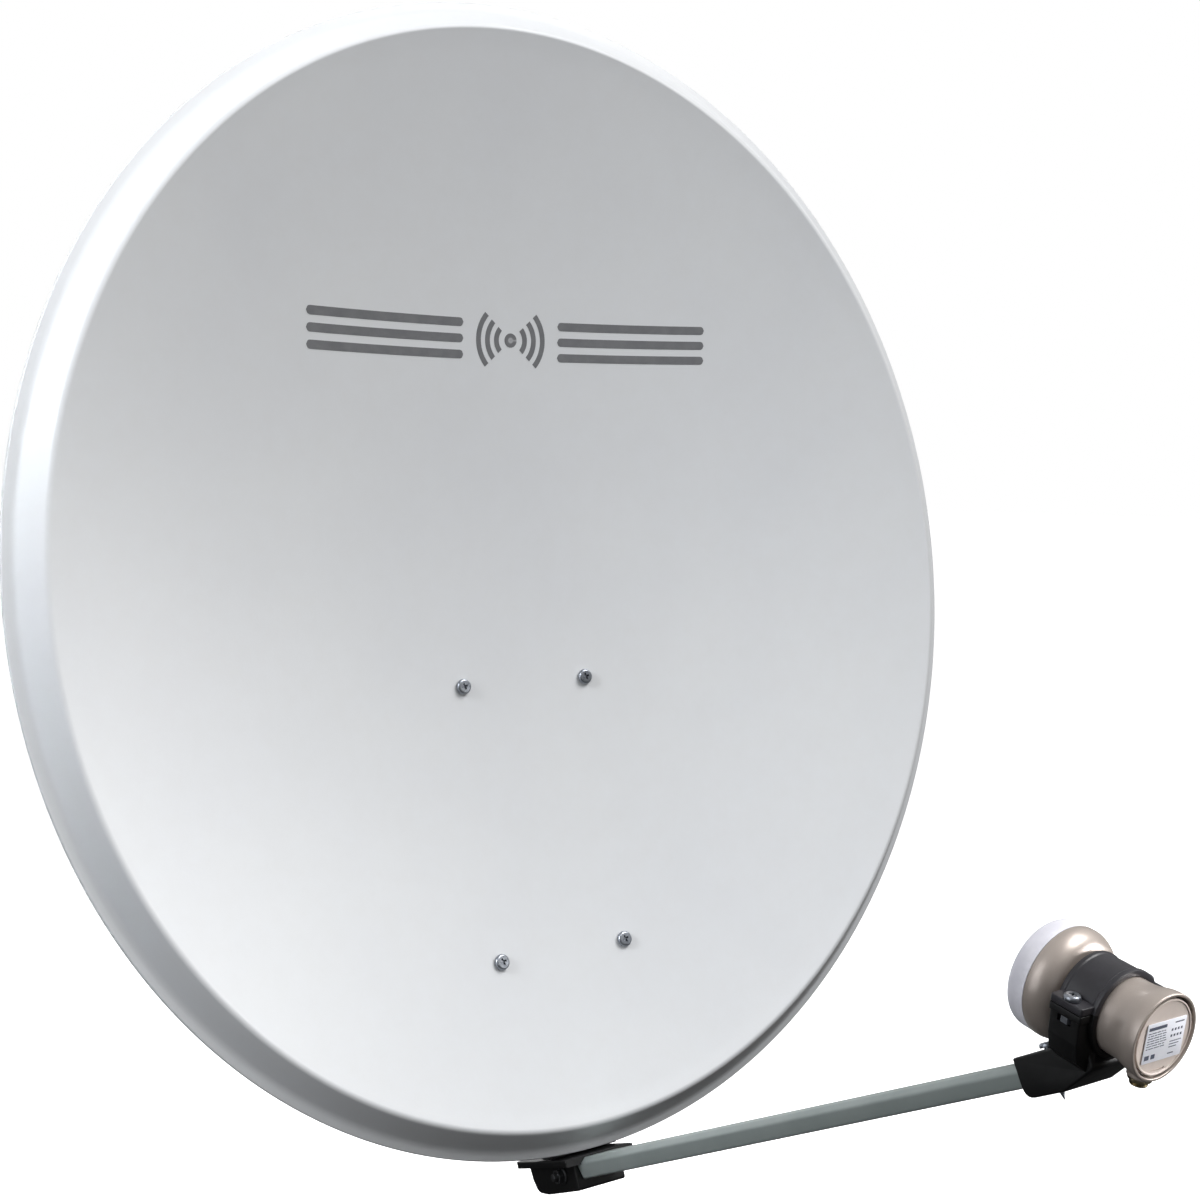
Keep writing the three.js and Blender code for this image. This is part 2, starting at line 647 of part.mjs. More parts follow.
// Six-sided section at distance s along the arm; grow offsets it outwards.
function armSection(s, grow) {
  const ratio = s / 440;
  const top = 9.45 - 1.0 * ratio + grow;
  const bottom = -5.45 + 1.65 * ratio - grow;
  const waist = top - 0.27 * (top - bottom);
  const narrow = 1 - 0.1 * ratio;
  return [
    [13 * narrow + grow * 0.5, top], [17.2 * narrow + grow * 1.1, waist],
    [14.6 * narrow + grow * 0.8, bottom], [-14.6 * narrow - grow * 0.8, bottom],
    [-17.2 * narrow - grow * 1.1, waist], [-13 * narrow - grow * 0.5, top],
  ];
}

// Tapered bar between s0 and s1: an extrusion whose ends take their own sections.
function armBar(s0, s1, grow) {
  const geometry = extruded(outline(armSection(s0, grow)), s1 - s0).translate(0, 0, s0);
  const position = geometry.getAttribute('position');
  const first = armSection(s0, grow);
  const last = armSection(s1, grow);
  for (let i = 0; i < position.count; i += 1) {
    if (position.getZ(i) < (s0 + s1) / 2) continue;
    const corner = first.findIndex(([x, y]) =>
      Math.abs(x - position.getX(i)) < 1e-3 && Math.abs(y - position.getY(i)) < 1e-3);
    position.setXY(i, ...last[corner]);
  }
  return solid(geometry);
}

const ARM_BOLT_S = -29;
const ARM_BOLT_H = 0.4;
const armBoltHole = crossHoles(HOLE_6, [[ARM_BOLT_H, ARM_BOLT_S]]);
const HOLDER_SCREW_S = 466;
const upDown = new THREE.Matrix4().makeRotationX(-Math.PI / 2);
function alongH(body, h, s) {
  return solid(geometryOf(body).applyMatrix4(upDown).translate(0, h, s));
}
const holderScrewHole = alongH(rod(2.5, -40, 40, 16), 0, HOLDER_SCREW_S);

const armBody = armBar(ARM_START, ARM_END, 0)
  .subtract(armBar(ARM_START - 5, ARM_END + 5, -ARM_WALL))
  .subtract(armBoltHole)
  .subtract(holderScrewHole);
add(arm, 'feed_arm', armBody, armPaint);

const HOUSING_HALF = 20.5;
const FLANGE_HALF = 30;

function armHousing() {
  const side = new THREE.Shape();
  // Drawn in (h, s): the side view of the carrier's body
  side.moveTo(-12.6, -9.7);
  side.lineTo(-11.2, -59);
  side.quadraticCurveTo(-10.4, -75, 0, -76.5);
  side.lineTo(14, -78);
  side.lineTo(8.3, -9.7);
  side.closePath();
  const flange = outline([[5.4, -4.2], [10.7, -4.2], [17.4, -79.2], [12, -79.2]]);
  let body = plateX(side, -HOUSING_HALF, HOUSING_HALF, 1.2);
  body = body.add(plateX(flange, -FLANGE_HALF, FLANGE_HALF));
  // Spine that plugs into the channel of the back frame
  const spine = moved(box(48, 44, 18, 0, CHANNEL_BOTTOM + 18, -STANDOFF - STEEL - 9.8), back, arm);
  const bolt = moved(crossHoles(HOLE_6, [carrierBolt]), back, arm);
  body = body.add(spine).subtract(armBar(ARM_START - 0.8, 20, GAP));
  return body.subtract(bolt).subtract(armBoltHole);
}
add(arm, 'arm_housing', armHousing(), blackPlastic);
throughBolt(arm, 'arm', 6, 3, HOUSING_HALF + GAP, ARM_BOLT_H, ARM_BOLT_S, blackSteel);
throughBolt(back, 'carrier', 6, 3, CHANNEL_HALF + GAP, ...carrierBolt, zinc);

// ---------------------------------------------------------------- feed holder
const lnbAngle = radians(LNB_ANGLE);
// X across, Y square to the feed's axis upwards, Z along the axis away from the reflector
const lnb = frame(aperture, LNB_REAR, [1, 0, 0], [0, Math.cos(lnbAngle), Math.sin(lnbAngle)]);
const RING_MIDDLE = (RING_FRONT + RING_BACK) / 2;
const NUT_TOP = SPLIT - 2 * GAP - EAR_THICK_DOWN;

function ring(inner, outer, z0, z1) {
  return turned([[inner, z0], [outer, z0], [outer, z1], [inner, z1], [inner, z0]]);
}

// Ears of the clamp, between two heights, rounded in plan.
function clampEars(y0, y1) {
  const r = 1.5;
  const shape = roundedHull([-1, 1].flatMap((x) => [-1, 1].map((z) => [
    x * (EAR_U + EAR_MARGIN - r), RING_MIDDLE + z * (EAR_HALF_DEPTH - r), r,
  ])));
  return solid(extruded(shape, y1 - y0).rotateX(Math.PI / 2).translate(0, y1, 0));
}

function vertical(body, x, y, z) {
  return solid(geometryOf(body).rotateX(-Math.PI / 2).translate(x, y, z));
}

function strapHoles(radius) {
  const holes = [-EAR_U, EAR_U].map((x) => vertical(rod(radius, -40, 40, 16), x, 0, RING_MIDDLE));
  return holes[0].add(holes[1]);
}

const neckBore = rod(RING_INNER, -80, 20, 32);
function clampStrap() {
  const upperHalf = box(200, 100, 200, 0, 50 + SPLIT, 0);
  let body = ring(RING_INNER - 1, RING_OUTER, RING_FRONT, RING_BACK).intersect(upperHalf);
  // Raised edges of the strap
  for (const z of [RING_FRONT, RING_BACK - 2.5]) {
    body = body.add(ring(RING_INNER - 1, RING_OUTER + STRAP_RIDGE, z, z + 2.5).intersect(upperHalf));
  }
  body = body.add(clampEars(SPLIT, SPLIT + EAR_THICK_UP));
  return body.subtract(neckBore).subtract(strapHoles(2.4));
}

function lnbHolder() {
  const side = new THREE.Shape();
  // Drawn in (h, s): the side view of the box round the arm's end
  side.moveTo(12.4, 457);
  side.lineTo(-2.5, 457.4);
  side.quadraticCurveTo(-8.6, 458.5, -8.8, 466);
  side.lineTo(-8.6, 485);
  side.lineTo(-1.2, 508.5);
  side.lineTo(22, 512);
  side.lineTo(24, 497);
  side.lineTo(15.4, 491);
  side.lineTo(13, 484);
  side.closePath();
  let body = moved(plateX(side, -18.6, 18.6, 1.4), arm, lnb);
  const lowerHalf = box(200, 100, 200, 0, SPLIT - GAP - 50, 0);
  body = body.add(ring(RING_INNER - 1, RING_OUTER, RING_FRONT, RING_BACK).intersect(lowerHalf));
  body = body.add(clampEars(NUT_TOP + GAP, SPLIT - GAP));
  // Saddle that carries the ears down to the box, with a slot each side for a nut
  const right = [[30.8, 0], [29.8, -12], [27, -22], [18, -29]];
  const left = right.map(([x, y]) => [-x, y]).reverse();
  const saddleHalf = EAR_HALF_DEPTH - 0.8;
  body = body.add(plateZ(outline([...right, ...left]), RING_MIDDLE - saddleHalf, RING_MIDDLE + saddleHalf));
  const slotHeight = NUT_HEIGHT + 2 * GAP;
  const slotMiddle = NUT_TOP - NUT_HEIGHT / 2;
  for (const side of [-1, 1]) {
    body = body.subtract(box(12, slotHeight, 8.6, side * (EAR_U + 1.4), slotMiddle, RING_MIDDLE));
  }
  const cavity = moved(armBar(450, ARM_END + 0.6, GAP), arm, lnb);
  const slit = moved(holderScrewHole, arm, lnb);
  body = body.subtract(neckBore).subtract(cavity).subtract(slit).subtract(strapHoles(2.4));
  return body.intersect(box(200, 100, 200, 0, SPLIT - GAP - 50, 0));
}
add(lnb, 'lnb_holder', lnbHolder(), blackPlastic);
add(lnb, 'clamp_strap', clampStrap(), blackPlastic);

const holderScrew = panScrew(4.4, 2.6, 2.1, 27, 5);
add(arm, 'holder_screw', alongH(holderScrew, 13.1 + GAP, HOLDER_SCREW_S), zinc);

for (const [side, x] of [['left', -EAR_U], ['right', EAR_U]]) {
  const screw = panScrew(4.4, 2.6, 2, 20);
  add(lnb, `strap_screw_${side}`, vertical(screw, x, SPLIT + EAR_THICK_UP + GAP, RING_MIDDLE), zinc);
  const nut = rod(4, 0, NUT_HEIGHT, 6).subtract(rod(2 + GAP, -1, 5, 16));
  add(lnb, `strap_nut_${side}`, vertical(nut, x, NUT_TOP - NUT_HEIGHT, RING_MIDDLE), zinc);
}

// ---------------------------------------------------------------- LNB
// Rear housing: neck and flared body, open at the back and at the front
function rearHousing() {
  const profile = [[NECK_RADIUS, -49.2], [NECK_RADIUS, -18]];
  const flare = new THREE.CubicBezierCurve(
    new THREE.Vector2(NECK_RADIUS, -18), new THREE.Vector2(20.7, -11),
    new THREE.Vector2(23, -9), new THREE.Vector2(23, -3));
  for (const point of flare.getPoints(4).slice(1)) profile.push([point.x, point.y]);
  profile.push([23, -0.6], [22.4, 0], [21.4, -0.2], [21.2, -4.2], [19.2, -4.8], [18.3, -18]);
  profile.push([18.3, -49.2], [NECK_RADIUS, -49.2]);
  // Boss under the body for the coaxial socket
  const boss = vertical(rod(6.6, -25.2, -18.5, 20), 0, 0, SOCKET_Z)
    .intersect(rod(26, -25, -2, 32))
    .subtract(rod(19, -30, 5, 32))
    .subtract(rod(22, -5.4, 5, 32));
  const hole = vertical(rod(5, -40, -10), 0, 0, SOCKET_Z);
  return turned(profile).add(boss).subtract(hole);
}
add(lnb, 'lnb_rear_housing', rearHousing(), champagne);

// Rear cover: a disc with a raised edge and a drain slot
function rearCover() {
  const profile = [
    [0, -3.2], [19.7, -3.2], [19.9, -2.6], [19.9, -0.9], [19.4, -0.4], [18.9, -0.9], [0, -0.9],
  ];
  const slot = box(10.6, 1.1, 1.6, 0, -17, -0.9);
  return turned(profile).subtract(slot);
}
add(lnb, 'lnb_rear_cover', rearCover(), champagne);
add(lnb, 'lnb_label', box(28.8, 21, 0.25, 0.4, -1.2, -0.9 + GAP + 0.125), labelPaper);

// Front shroud: bell round the feed horn
function frontShroud() {
  const shell = [];
  const bell = new THREE.CubicBezierCurve(
    new THREE.Vector2(20.6, -49.6), new THREE.Vector2(25.6, -50.2),
    new THREE.Vector2(29.2, -54), new THREE.Vector2(30.2, -60));
  for (const point of bell.getPoints(4)) shell.push([point.x, point.y]);
  shell.push([30.2, -63.2]);
  shell.push([28.3, -63.2]);
  const inner = new THREE.CubicBezierCurve(
    new THREE.Vector2(28.3, -60), new THREE.Vector2(28.1, -55),
    new THREE.Vector2(25.6, -52), new THREE.Vector2(19, -51.4));
  for (const point of inner.getPoints(3)) shell.push([point.x, point.y]);
  shell.push([18.6, -49.6], [20.6, -49.6]);
  return turned(shell);
}
add(lnb, 'lnb_front_shroud', frontShroud(), champagne);

// Weather cap over the horn's mouth
function feedCap() {
  const profile = [[30.0, -63.5], [30.0, -70.5]];
  for (let i = 1; i <= 4; i += 1) {
    const angle = (i / 4) * (Math.PI / 2);
    profile.push([25.2 + 4.8 * Math.cos(angle), -70.5 - 4.8 * Math.sin(angle)]);
  }
  profile.push([14, -76.3], [0, -76.8], [0, -75.3], [14, -74.8], [25, -73.8], [28.2, -70]);
  profile.push([28.2, -63.5], [30.0, -63.5]);
  return turned(profile);
}
add(lnb, 'feed_cap', feedCap(), whiteCap);

// Die-cast feed horn with two rings round its mouth, and the waveguide behind it
function feedHorn() {
  const profile = [
    [9, -71], [10.2, -71], [10.2, -56], [13.5, -56], [13.5, -70], [14.9, -70], [14.9, -56],
    [18.4, -56], [18.4, -69], [19.9, -69], [19.9, -55], [17.4, -54], [17.4, -22], [9, -22],
    [9, -71],
  ];
  return turned(profile, 24);
}
add(lnb, 'feed_horn', feedHorn(), dieCast);
add(lnb, 'circuit_board', rod(17.6, -14.6, -13, 32).subtract(rod(4, -16, -10, 16)), boardGreen);

// Coaxial socket with a hexagon collar and an open centre
function coaxSocket() {
  const body = rod(4.6, 19.4, 29.5).add(rod(6, 25.6, 27.2, 6));
  const bored = body.subtract(rod(1.6, 25, 31, 12));
  return solid(geometryOf(bored).rotateX(Math.PI / 2).translate(0, 0, SOCKET_Z));
}
add(lnb, 'coax_socket', coaxSocket(), brass);

export default dish;
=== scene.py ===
"""Looks of an offset satellite dish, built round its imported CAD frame.

Shapes are drawn in millimetres in local frames, the same as the CAD's, and become metres in piece().
"""
import json
import math
import random

import bmesh
import bpy
from mathutils import Matrix, Vector


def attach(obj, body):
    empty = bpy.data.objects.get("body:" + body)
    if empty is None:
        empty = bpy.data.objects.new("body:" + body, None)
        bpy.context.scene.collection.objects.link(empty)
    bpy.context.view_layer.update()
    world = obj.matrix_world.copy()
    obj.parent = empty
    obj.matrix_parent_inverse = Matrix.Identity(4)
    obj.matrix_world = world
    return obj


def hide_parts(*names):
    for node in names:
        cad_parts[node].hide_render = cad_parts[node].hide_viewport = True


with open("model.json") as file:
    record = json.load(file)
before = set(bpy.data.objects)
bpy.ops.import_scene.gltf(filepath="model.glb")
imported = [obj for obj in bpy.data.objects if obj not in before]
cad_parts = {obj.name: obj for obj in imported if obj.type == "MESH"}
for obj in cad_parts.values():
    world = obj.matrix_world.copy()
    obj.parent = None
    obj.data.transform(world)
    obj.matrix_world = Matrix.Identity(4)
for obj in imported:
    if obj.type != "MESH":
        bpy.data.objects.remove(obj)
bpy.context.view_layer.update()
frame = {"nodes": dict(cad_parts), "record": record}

MM = 0.001

# ---------------------------------------------------------------- sizes, in millimetres
GAP = 0.3
RIM_CENTRE = (0, -168, 190)
RIM_TILT = 7.5
HALF_WIDTH = 375
HALF_HEIGHT = 407
BEAM_ANGLE = 22.87
BOWL_DEPTH = 76.05
SHEET = 1.0
FOLD_RADIUS = 4.5
SKIRT_ANGLE = 47
SKIRT = (17.5, 17.5)            # outwards and backwards from the aperture
LIP = (24.2, 19.0)
HEM = (25.0, 21.5)
SCREW_U = 54.9
SCREW_V = (-52.7, -270.3)
SEAT_GAP = 0.9
STANDOFF = 14
STEEL = 2.5
CHANNEL_HALF = 30
CHANNEL_BOTTOM = -252.5
EAR_OUTER = CHANNEL_HALF + GAP + 3
WALL_OUTER = EAR_OUTER + GAP + 2.5
EAR_BOLT_Y = (72, -58)
EAR_BOLT_Z = -STANDOFF - 12
CARRIER_BOLT = (-232, -27)
PIVOT = (-80, 24)
LOCK_BOLT = (-80, -18)
WEB_Y = -50
CLAMP_BOLT_X = 47
CLAMP_BOLT_Z = 32
JAW_BACK_Y = 16
ARM_ANGLE = 18.3
ARM_ROOT = (0, -440, 0)
ARM_START = -60
ARM_END = 481
ARM_WALL = 1.5
ARM_BOLT = (0.4, -29)
HOUSING_HALF = 20.5
FLANGE_HALF = 30
HOLDER_SCREW = (13.4, 466)
LNB_ANGLE = 18.1
LNB_REAR = (0, -264.6, 512.6)
NECK = 20.3
RING_INNER = 20.7
RING_OUTER = 23.4
RING_FRONT = -47.5
RING_BACK = -24
RING_MIDDLE = (RING_FRONT + RING_BACK) / 2
BAND_RADIUS = 22                # the radius at which the ring's cut ends are measured
EAR_U = 27.2
EAR_MARGIN = 4.2
EAR_HALF_DEPTH = 10
EAR_THICK = 4
SPLIT = 4.2
NUT_HEIGHT = 3.2
NUT_TOP = SPLIT - 2 * GAP - EAR_THICK
SOCKET_Z = -9.5
EMBLEM_HEIGHT = 183             # above the middle of the aperture, as drawn on a flat sheet
WAVE_RADII = (10.5, 18.5, 26.5)
WAVE_WIDTH = 4.2
WAVE_HALF_ANGLE = 42
BAR_SPAN = (42, 176)            # inner and outer ends of the emblem's bars, either side
BAR_HEIGHTS = (-12, 0, 12)
BAR_THICKNESS = 6.5
INK_LIFTS = (0.02, 0.14)        # underside and top of the printed film, over the paint
LABEL_INK_TOP = -0.33
LABEL_INK_FILM = 0.03

# ---------------------------------------------------------------- stage and camera, in metres and degrees
FLOOR_HEIGHT = -0.95
FLOOR_HALF = 30
FLOOR_GLOW = 0.72
CAMERA_PLACE = (-0.6520, -1.2054, 0.2699)
CAMERA_DOWN = 4.69
CAMERA_TURN = 33.44
CAMERA_LENS = 49.44
COOL = (0.93, 0.96, 1.0)        # a slightly blue light


# ---------------------------------------------------------------- frames
def axes(origin, x_axis, y_axis, parent=Matrix.Identity(4)):
    """A child frame from its origin and its X and Y axes in the parent's frame."""
    x = Vector(x_axis).normalized()
    y = Vector(y_axis).normalized()
    local = Matrix((x, y, x.cross(y))).transposed().to_4x4()
    local.translation = Vector(origin)
    return parent @ local


def turn(degrees, axis):
    return Matrix.Rotation(math.radians(degrees), 4, axis)


def shift(x, y, z):
    return Matrix.Translation((x, y, z))


def cos_sin(degrees):
    return math.cos(math.radians(degrees)), math.sin(math.radians(degrees))


tilt_cos, tilt_sin = cos_sin(RIM_TILT)
beam_cos, beam_sin = cos_sin(BEAM_ANGLE)
arm_cos, arm_sin = cos_sin(ARM_ANGLE)
lnb_cos, lnb_sin = cos_sin(LNB_ANGLE)
PART = Matrix.Identity(4)
APERTURE = axes(RIM_CENTRE, (1, 0, 0), (0, tilt_sin, tilt_cos))
ARM = axes(ARM_ROOT, (1, 0, 0), (0, arm_cos, -arm_sin), APERTURE)
LNB = axes(LNB_REAR, (1, 0, 0), (0, lnb_cos, lnb_sin), APERTURE)
SIDE_ON = axes((0, 0, 0), (0, 1, 0), (0, 0, 1))      # a shape drawn in (y, z), pushed along x
UPRIGHT = turn(-90, "X")                             # z becomes the frame's y


def bowl_point(u, v):
    """The front surface under the point (u, v) of the aperture, along the beam."""
    depth = (1 - (u / HALF_WIDTH) ** 2 - (v / HALF_HEIGHT) ** 2) * BOWL_DEPTH
    return Vector((u, v - depth * beam_sin, -depth * beam_cos))


def bowl_normal(u, v):
    across = bowl_point(u + 0.5, v) - bowl_point(u - 0.5, v)
    along = bowl_point(u, v + 0.5) - bowl_point(u, v - 0.5)
    return across.cross(along).normalized()


CORNERS = ("upper_left", "upper_right", "lower_left", "lower_right")      # in the order of SEATS
SEATS = []
for seat_v in SCREW_V:
    for seat_u in (-SCREW_U, SCREW_U):
        seat_normal = bowl_normal(seat_u, seat_v)
        seat_up = seat_normal.cross(Vector((1, 0, 0)))
        SEATS.append(axes(bowl_point(seat_u, seat_v), seat_up.cross(seat_normal), seat_up, APERTURE))

upper_seat, lower_seat = (bowl_point(SCREW_U, v) for v in SCREW_V)
upper_seat.x = lower_seat.x = 0
BACK = axes((upper_seat + lower_seat) / 2, (1, 0, 0), upper_seat - lower_seat, APERTURE)


# ---------------------------------------------------------------- mesh tools
def filleted(points, radius, steps=4, closed=True):
    """The same outline with its corners rounded; radius is one number, or one for each corner."""
    count = len(points)
    radii = radius if isinstance(radius, (list, tuple)) else [radius] * count
    result = []
    for i, corner in enumerate(points):
        corner = Vector(corner)
        if radii[i] <= 0 or (not closed and i in (0, count - 1)):
            result.append(corner)
            continue
        before = Vector(points[i - 1]) - corner
        after = Vector(points[(i + 1) % count]) - corner
        cut = radii[i] / math.tan(before.angle(after) / 2)
        cut = min(cut, 0.49 * before.length, 0.49 * after.length)
        start = corner + before.normalized() * cut
        end = corner + after.normalized() * cut
        for step in range(steps + 1):
            w = step / steps
            result.append(start * (1 - w) ** 2 + corner * 2 * w * (1 - w) + end * w * w)
    return result


def skin(loops, closed=False, first_pole=None, last_pole=None):
    """A surface through loops of points, each loop closed on itself."""
    bm = bmesh.new()
    rows = [[bm.verts.new(point) for point in loop] for loop in loops]
    count = len(rows[0])
    pairs = list(zip(rows, rows[1:]))
    if closed:
        pairs.append((rows[-1], rows[0]))
    for low, high in pairs:
        for i in range(count):
            j = (i + 1) % count
            bm.faces.new((low[i], low[j], high[j], high[i]))
    for pole, row in ((first_pole, rows[0]), (last_pole, rows[-1])):
        if pole is not None:
            tip = bm.verts.new(pole)
            for i in range(count):
                bm.faces.new((row[i], row[(i + 1) % count], tip))
    bmesh.ops.recalc_face_normals(bm, faces=bm.faces)
    return bm


def circle(radius, z, count):
    """A loop at height z; radius is a number or a function of the angle."""
    loop = []
    for i in range(count):
        angle = 2 * math.pi * i / count
        r = radius(angle) if callable(radius) else radius
        loop.append((r * math.cos(angle), r * math.sin(angle), z))
    return loop


def lathe(profile, count=96):
    """A profile of (radius, z) turned about z: open at the axis, or a closed ring."""
    first, last = profile[0], profile[-1]
    body = [p for p in profile if p[0] > 0]
    return skin(
        [circle(r, z, count) for r, z in body],
        closed=first[0] > 0 and last[0] > 0,
        first_pole=(0, 0, first[1]) if first[0] == 0 else None,
        last_pole=(0, 0, last[1]) if last[0] == 0 else None,
    )


def slab(shape, low, high, edge=0.0, steps=3):
    """An outline in (x, y) pushed from low to high, with rounded rims."""
    bm = bmesh.new()
    base = bm.faces.new([bm.verts.new((x, y, low)) for x, y in shape])
    grown = bmesh.ops.extrude_face_region(bm, geom=[base])
    top = [item for item in grown["geom"] if isinstance(item, bmesh.types.BMVert)]
    bmesh.ops.translate(bm, verts=top, vec=(0, 0, high - low))
    bmesh.ops.recalc_face_normals(bm, faces=bm.faces)
    if edge > 0:
        rims = [e for e in bm.edges if abs(e.verts[0].co.z - e.verts[1].co.z) < 1e-6]
        bmesh.ops.bevel(bm, geom=rims, offset=edge, segments=steps, profile=0.5,
                        affect="EDGES", clamp_overlap=True)
    return bm


def placed(bm, matrix):
    bm.transform(matrix)
    return bm


def joined(*parts):
    """Several closed bodies as one mesh."""
    mesh = bpy.data.meshes.new("scratch")
    whole = bmesh.new()
    for bm in parts:
        bm.to_mesh(mesh)
        whole.from_mesh(mesh)
        bm.free()
    bpy.data.meshes.remove(mesh)
    return whole


def combined(first, second, operation):
    """UNION, DIFFERENCE or INTERSECT of two closed bodies."""
    objects = []
    for bm in (first, second):
        mesh = bpy.data.meshes.new("scratch")
        bm.to_mesh(mesh)
        bm.free()
        scratch = bpy.data.objects.new("scratch", mesh)
        bpy.context.scene.collection.objects.link(scratch)
        objects.append(scratch)
    modifier = objects[0].modifiers.new("combine", "BOOLEAN")
    modifier.operation = operation
    modifier.object = objects[1]
    modifier.solver = "EXACT"
    result = bmesh.new()
    result.from_object(objects[0], bpy.context.evaluated_depsgraph_get())
    for scratch in objects:
        mesh = scratch.data
        bpy.data.objects.remove(scratch)
        bpy.data.meshes.remove(mesh)
    return result


def cut_above(bm, y):
    """The part of a closed body below this y."""
    everything = bm.verts[:] + bm.edges[:] + bm.faces[:]
    cut = bmesh.ops.bisect_plane(bm, geom=everything, plane_co=(0, y, 0), plane_no=(0, 1, 0),
                                 clear_outer=True)
    rim = [item for item in cut["geom_cut"] if isinstance(item, bmesh.types.BMEdge)]
    bmesh.ops.contextual_create(bm, geom=rim)
    bmesh.ops.recalc_face_normals(bm, faces=bm.faces)
    return bm


def oblong(width, depth):
    return [(-width / 2, -depth / 2), (width / 2, -depth / 2),
            (width / 2, depth / 2), (-width / 2, depth / 2)]


def block(width, depth, height, x=0, y=0, z=0):
    return placed(slab(oblong(width, depth), -height / 2, height / 2), shift(x, y, z))


def piece(name, bm, place, material, body, nodes=(), crease=32):
    """A shown piece, in metres, that rides on its body and stands for its CAD nodes."""
    bm.transform(Matrix.Scale(MM, 4) @ place)
    mesh = bpy.data.meshes.new(name)
    bm.to_mesh(mesh)
    bm.free()
    for polygon in mesh.polygons:
        polygon.use_smooth = True
    mesh.set_sharp_from_angle(angle=math.radians(crease))
    mesh.materials.append(material)
    shown = bpy.data.objects.new(name, mesh)
    bpy.context.scene.collection.objects.link(shown)
    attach(shown, body)
    if nodes:
        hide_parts(*nodes)
    return shown


# ---------------------------------------------------------------- materials
class Look:
    """A principled material whose colour, roughness and relief come from procedural nodes."""

    def __init__(self, name, **constants):
        self.material = bpy.data.materials.new(name)
        self.material.use_nodes = True
        self.tree = self.material.node_tree
        self.shader = self.tree.nodes["Principled BSDF"]
        self.place = self.tree.nodes.new("ShaderNodeTexCoord").outputs["Object"]
        self.relief = None
        for socket, value in constants.items():
            self.shader.inputs[socket.replace("_", " ")].default_value = value

    def link(self, output, target):
        self.tree.links.new(output, target)

    def noise(self, scale, detail=3.0, roughness=0.55, stretch=None):
        node = self.tree.nodes.new("ShaderNodeTexNoise")
        node.inputs["Scale"].default_value = scale
        node.inputs["Detail"].default_value = detail
        node.inputs["Roughness"].default_value = roughness
        self.link(self.stretched(stretch), node.inputs["Vector"])
        return node.outputs["Fac"]

    def stretched(self, stretch):
        if stretch is None:
            return self.place
        mapping = self.tree.nodes.new("ShaderNodeMapping")
        mapping.inputs["Scale"].default_value = stretch
        self.link(self.place, mapping.inputs["Vector"])
        return mapping.outputs["Vector"]

    def cells(self, scale, output="Distance"):
        node = self.tree.nodes.new("ShaderNodeTexVoronoi")
        node.inputs["Scale"].default_value = scale
        self.link(self.place, node.inputs["Vector"])
        return node.outputs[output]

    def ramp(self, source, stops):
        """stops: (position, (r, g, b)) from low to high."""
        node = self.tree.nodes.new("ShaderNodeValToRGB")
        band = node.color_ramp
        while len(band.elements) < len(stops):
            band.elements.new(0.5)
        for element, (position, colour) in zip(band.elements, stops):
            element.position = position
            element.color = (*colour, 1.0)
        self.link(source, node.inputs["Fac"])
        return node.outputs["Color"]

    def span(self, source, low, high):
        node = self.tree.nodes.new("ShaderNodeMapRange")
        node.inputs["From Min"].default_value = 0.3
        node.inputs["From Max"].default_value = 0.7
        node.inputs["To Min"].default_value = low
        node.inputs["To Max"].default_value = high
        self.link(source, node.inputs["Value"])
        return node.outputs["Result"]

    def blended(self, factor, first, second):
        """A mix of two colours; 0, 6, 7 and 2 are the node's sockets for factor and colours."""
        node = self.tree.nodes.new("ShaderNodeMix")
        node.data_type = "RGBA"
        self.link(factor, node.inputs[0])
        self.link(first, node.inputs[6])
        self.link(second, node.inputs[7])
        return node.outputs[2]

    def edges(self, low, high):
        """1 on outer edges, 0 on flats."""
        geometry = self.tree.nodes.new("ShaderNodeNewGeometry")
        node = self.tree.nodes.new("ShaderNodeMapRange")
        node.inputs["From Min"].default_value = low
        node.inputs["From Max"].default_value = high
        self.link(geometry.outputs["Pointiness"], node.inputs["Value"])
        return node.outputs["Result"]

    def colour(self, output):
        self.link(output, self.shader.inputs["Base Color"])

    def gloss(self, output):
        self.link(output, self.shader.inputs["Roughness"])

    def bump(self, height, distance, strength=1.0):
        node = self.tree.nodes.new("ShaderNodeBump")
        node.inputs["Distance"].default_value = distance
        node.inputs["Strength"].default_value = strength
        self.link(height, node.inputs["Height"])
        if self.relief is not None:
            self.link(self.relief, node.inputs["Normal"])
        self.relief = node.outputs["Normal"]
        self.link(self.relief, self.shader.inputs["Normal"])


def srgb(red, green, blue):
    """Linear colour of 0 to 255 display values."""
    def linear(value):
        value = value / 255
        return value / 12.92 if value <= 0.04045 else ((value + 0.055) / 1.055) ** 2.4
    return tuple(linear(value) for value in (red, green, blue))


def dish_paint():
    """Light grey powder coat with a fine orange peel."""
    look = Look("dish_paint", Metallic=0.0, Specular_IOR_Level=0.42, Coat_Weight=0.06, Coat_Roughness=0.3)
    cloud = look.noise(5.0, 4.0)
    dust = look.noise(60.0, 6.0, 0.7)
    base = look.ramp(cloud, [(0.3, srgb(214, 216, 219)), (0.7, srgb(218, 220, 222))])
    soiled = look.ramp(cloud, [(0.3, srgb(209, 210, 211)), (0.7, srgb(213, 213, 213))])
    look.colour(look.blended(look.span(dust, 0.0, 0.35), base, soiled))
    look.gloss(look.span(look.noise(22.0, 5.0), 0.4, 0.5))
    look.bump(look.noise(520.0, 2.0), 0.00006, 0.5)
    look.bump(look.noise(2400.0, 2.0), 0.00001, 0.5)
    return look.material


